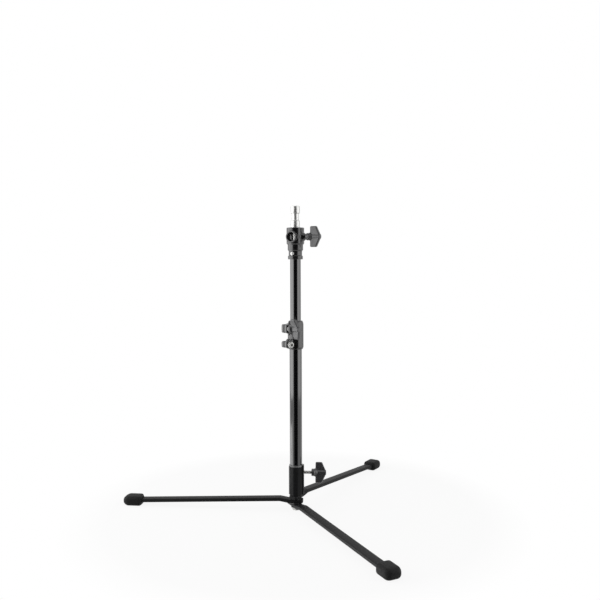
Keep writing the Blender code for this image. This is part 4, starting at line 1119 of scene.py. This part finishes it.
def make_stud():
    low, high = BOX["stud"]
    radius = high.x
    half = STUD_NECK_LENGTH / 2
    corners = [(0.0, low.z), (radius, low.z, STUD_FOOT_CORNER)]
    bore_height = JOINTS["head_knob_turn"]["pos_m"][2]
    for middle in (bore_height, HEAD_TOP + STUD_UPPER_NECK_UP):
        corners += [(radius, middle - half - STUD_TAPER),
                    (STUD_NECK, middle - half, STUD_NECK_CORNER),
                    (STUD_NECK, middle + half, STUD_NECK_CORNER),
                    (radius, middle + half + STUD_TAPER)]
    corners += [(radius, high.z, STUD_TOP_CORNER), (0.0, high.z)]
    stud = solid("stud_steel", turned(turned_outline(corners)))
    show(stud, "stud")


# Stage

def light_path_white(tree):
    """1 for rays that look at the background: from the camera, or by way of metal or glass."""
    rays = add_node(tree, "LightPath").outputs
    either = computed(tree, "Math", "MAXIMUM", rays["Is Camera Ray"], rays["Is Glossy Ray"])
    return computed(tree, "Math", "MAXIMUM", either, rays["Is Transmission Ray"])


def make_floor():
    bottom = -FLOOR_THICKNESS
    floor = solid("floor", turned([(0.0, bottom), (FLOOR_RADIUS, bottom),
                                   (FLOOR_RADIUS, -FLOOR_DOWN), (0.0, -FLOOR_DOWN)]))
    paper, tree, shader = new_material("white_paper", Base_Color=grey(FLOOR_PAPER),
                                       Roughness=FLOOR_ROUGHNESS, Specular_IOR_Level=0.0)
    glow = feed(tree, add_node(tree, "Emission"), Color=grey(1.0), Strength=1.0)
    distance = computed(tree, "VectorMath", "LENGTH", own_space(tree))
    share = spread(tree, distance, FLOOR_WHITE, 1.0, FLOOR_FADE, FLOOR_RADIUS - FLOOR_RIM)
    amount = computed(tree, "Math", "MULTIPLY", share, light_path_white(tree))
    blend = feed(tree, add_node(tree, "MixShader"), amount, shader.outputs["BSDF"],
                 glow.outputs["Emission"])
    feed(tree, tree.nodes["Material Output"], Surface=blend.outputs["Shader"])
    floor.data.materials.append(paper)
    floor.visible_glossy = False


def make_world():
    world = bpy.data.worlds.new("studio")
    world.use_nodes = True
    tree = world.node_tree
    feed(tree, tree.nodes["Background"],
         Color=mixed(tree, light_path_white(tree), grey(AMBIENT), grey(1.0)))
    bpy.context.scene.world = world


def make_softbox(name, azimuth, elevation, distance, width, height, radiance):
    """A flat lamp that faces the stand."""
    turn, rise = math.radians(azimuth), math.radians(elevation)
    way = Vector((-math.sin(turn) * math.cos(rise), -math.cos(turn) * math.cos(rise),
                  math.sin(rise)))
    data = bpy.data.lights.new(name, "AREA")
    data.shape = "RECTANGLE"
    data.size = width
    data.size_y = height
    data.energy = radiance * math.pi * width * height
    lamp = add_object(name, data)
    lamp.location = LAMP_TARGET + way * distance
    lamp.rotation_euler = way.to_track_quat("Z", "Y").to_euler()
    lamp.visible_camera = False


def make_flag():
    """A black cloth behind the camera, which gloss paint reflects along its middle."""
    bm = bmesh.new()
    columns = []
    for step in range(FLAG_STEPS + 1):
        turn = math.radians(FLAG_SPREAD * (2 * step / FLAG_STEPS - 1) + FLAG_TURN)
        x, y = FLAG_DISTANCE * math.sin(turn), -FLAG_DISTANCE * math.cos(turn)
        columns.append([bm.verts.new((x, y, height)) for height in (FLAG_BOTTOM, FLAG_TOP)])
    for left, right in zip(columns, columns[1:]):
        bm.faces.new((left[0], right[0], right[1], left[1]))
    flag = solid("black_cloth", bm)
    cloth = new_material("black_cloth", Base_Color=grey(FLAG_BLACK), Roughness=1.0,
                         Specular_IOR_Level=0.0)
    flag.data.materials.append(cloth[0])
    flag.visible_camera = False
    flag.visible_diffuse = False
    flag.visible_shadow = False


def make_camera():
    data = bpy.data.cameras.new("camera")
    data.lens = CAMERA_LENS
    data.sensor_width = CAMERA_SENSOR
    camera = add_object("camera", data)
    forward = (CAMERA_TARGET - CAMERA_PLACE).normalized()
    level = forward.cross(Vector((0.0, 0.0, 1.0))).normalized()
    upright = level.cross(forward)
    right = math.cos(CAMERA_ROLL) * level + math.sin(CAMERA_ROLL) * upright
    up = math.cos(CAMERA_ROLL) * upright - math.sin(CAMERA_ROLL) * level
    matrix = Matrix((right, up, -forward)).transposed().to_4x4()
    matrix.translation = CAMERA_PLACE
    camera.matrix_world = matrix
    bpy.context.scene.camera = camera


def finish_hidden_pieces():
    """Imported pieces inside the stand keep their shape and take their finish."""
    for node, obj in NODES.items():
        if not obj.hide_render:
            give_finish(obj, node)


make_camera()
make_floor()
make_world()
make_flag()
for softbox in SOFTBOXES:
    make_softbox(*softbox)
for which in LEG_AZIMUTH:
    make_leg(which)
make_hub()
make_socket()
make_tube("lower_tube")
make_tube("upper_tube")
for which in KNOB_TURN:
    make_knob(which)
make_clamp()
make_head()
finish_hidden_pieces()

bpy.context.scene.view_settings.view_transform = "Standard"
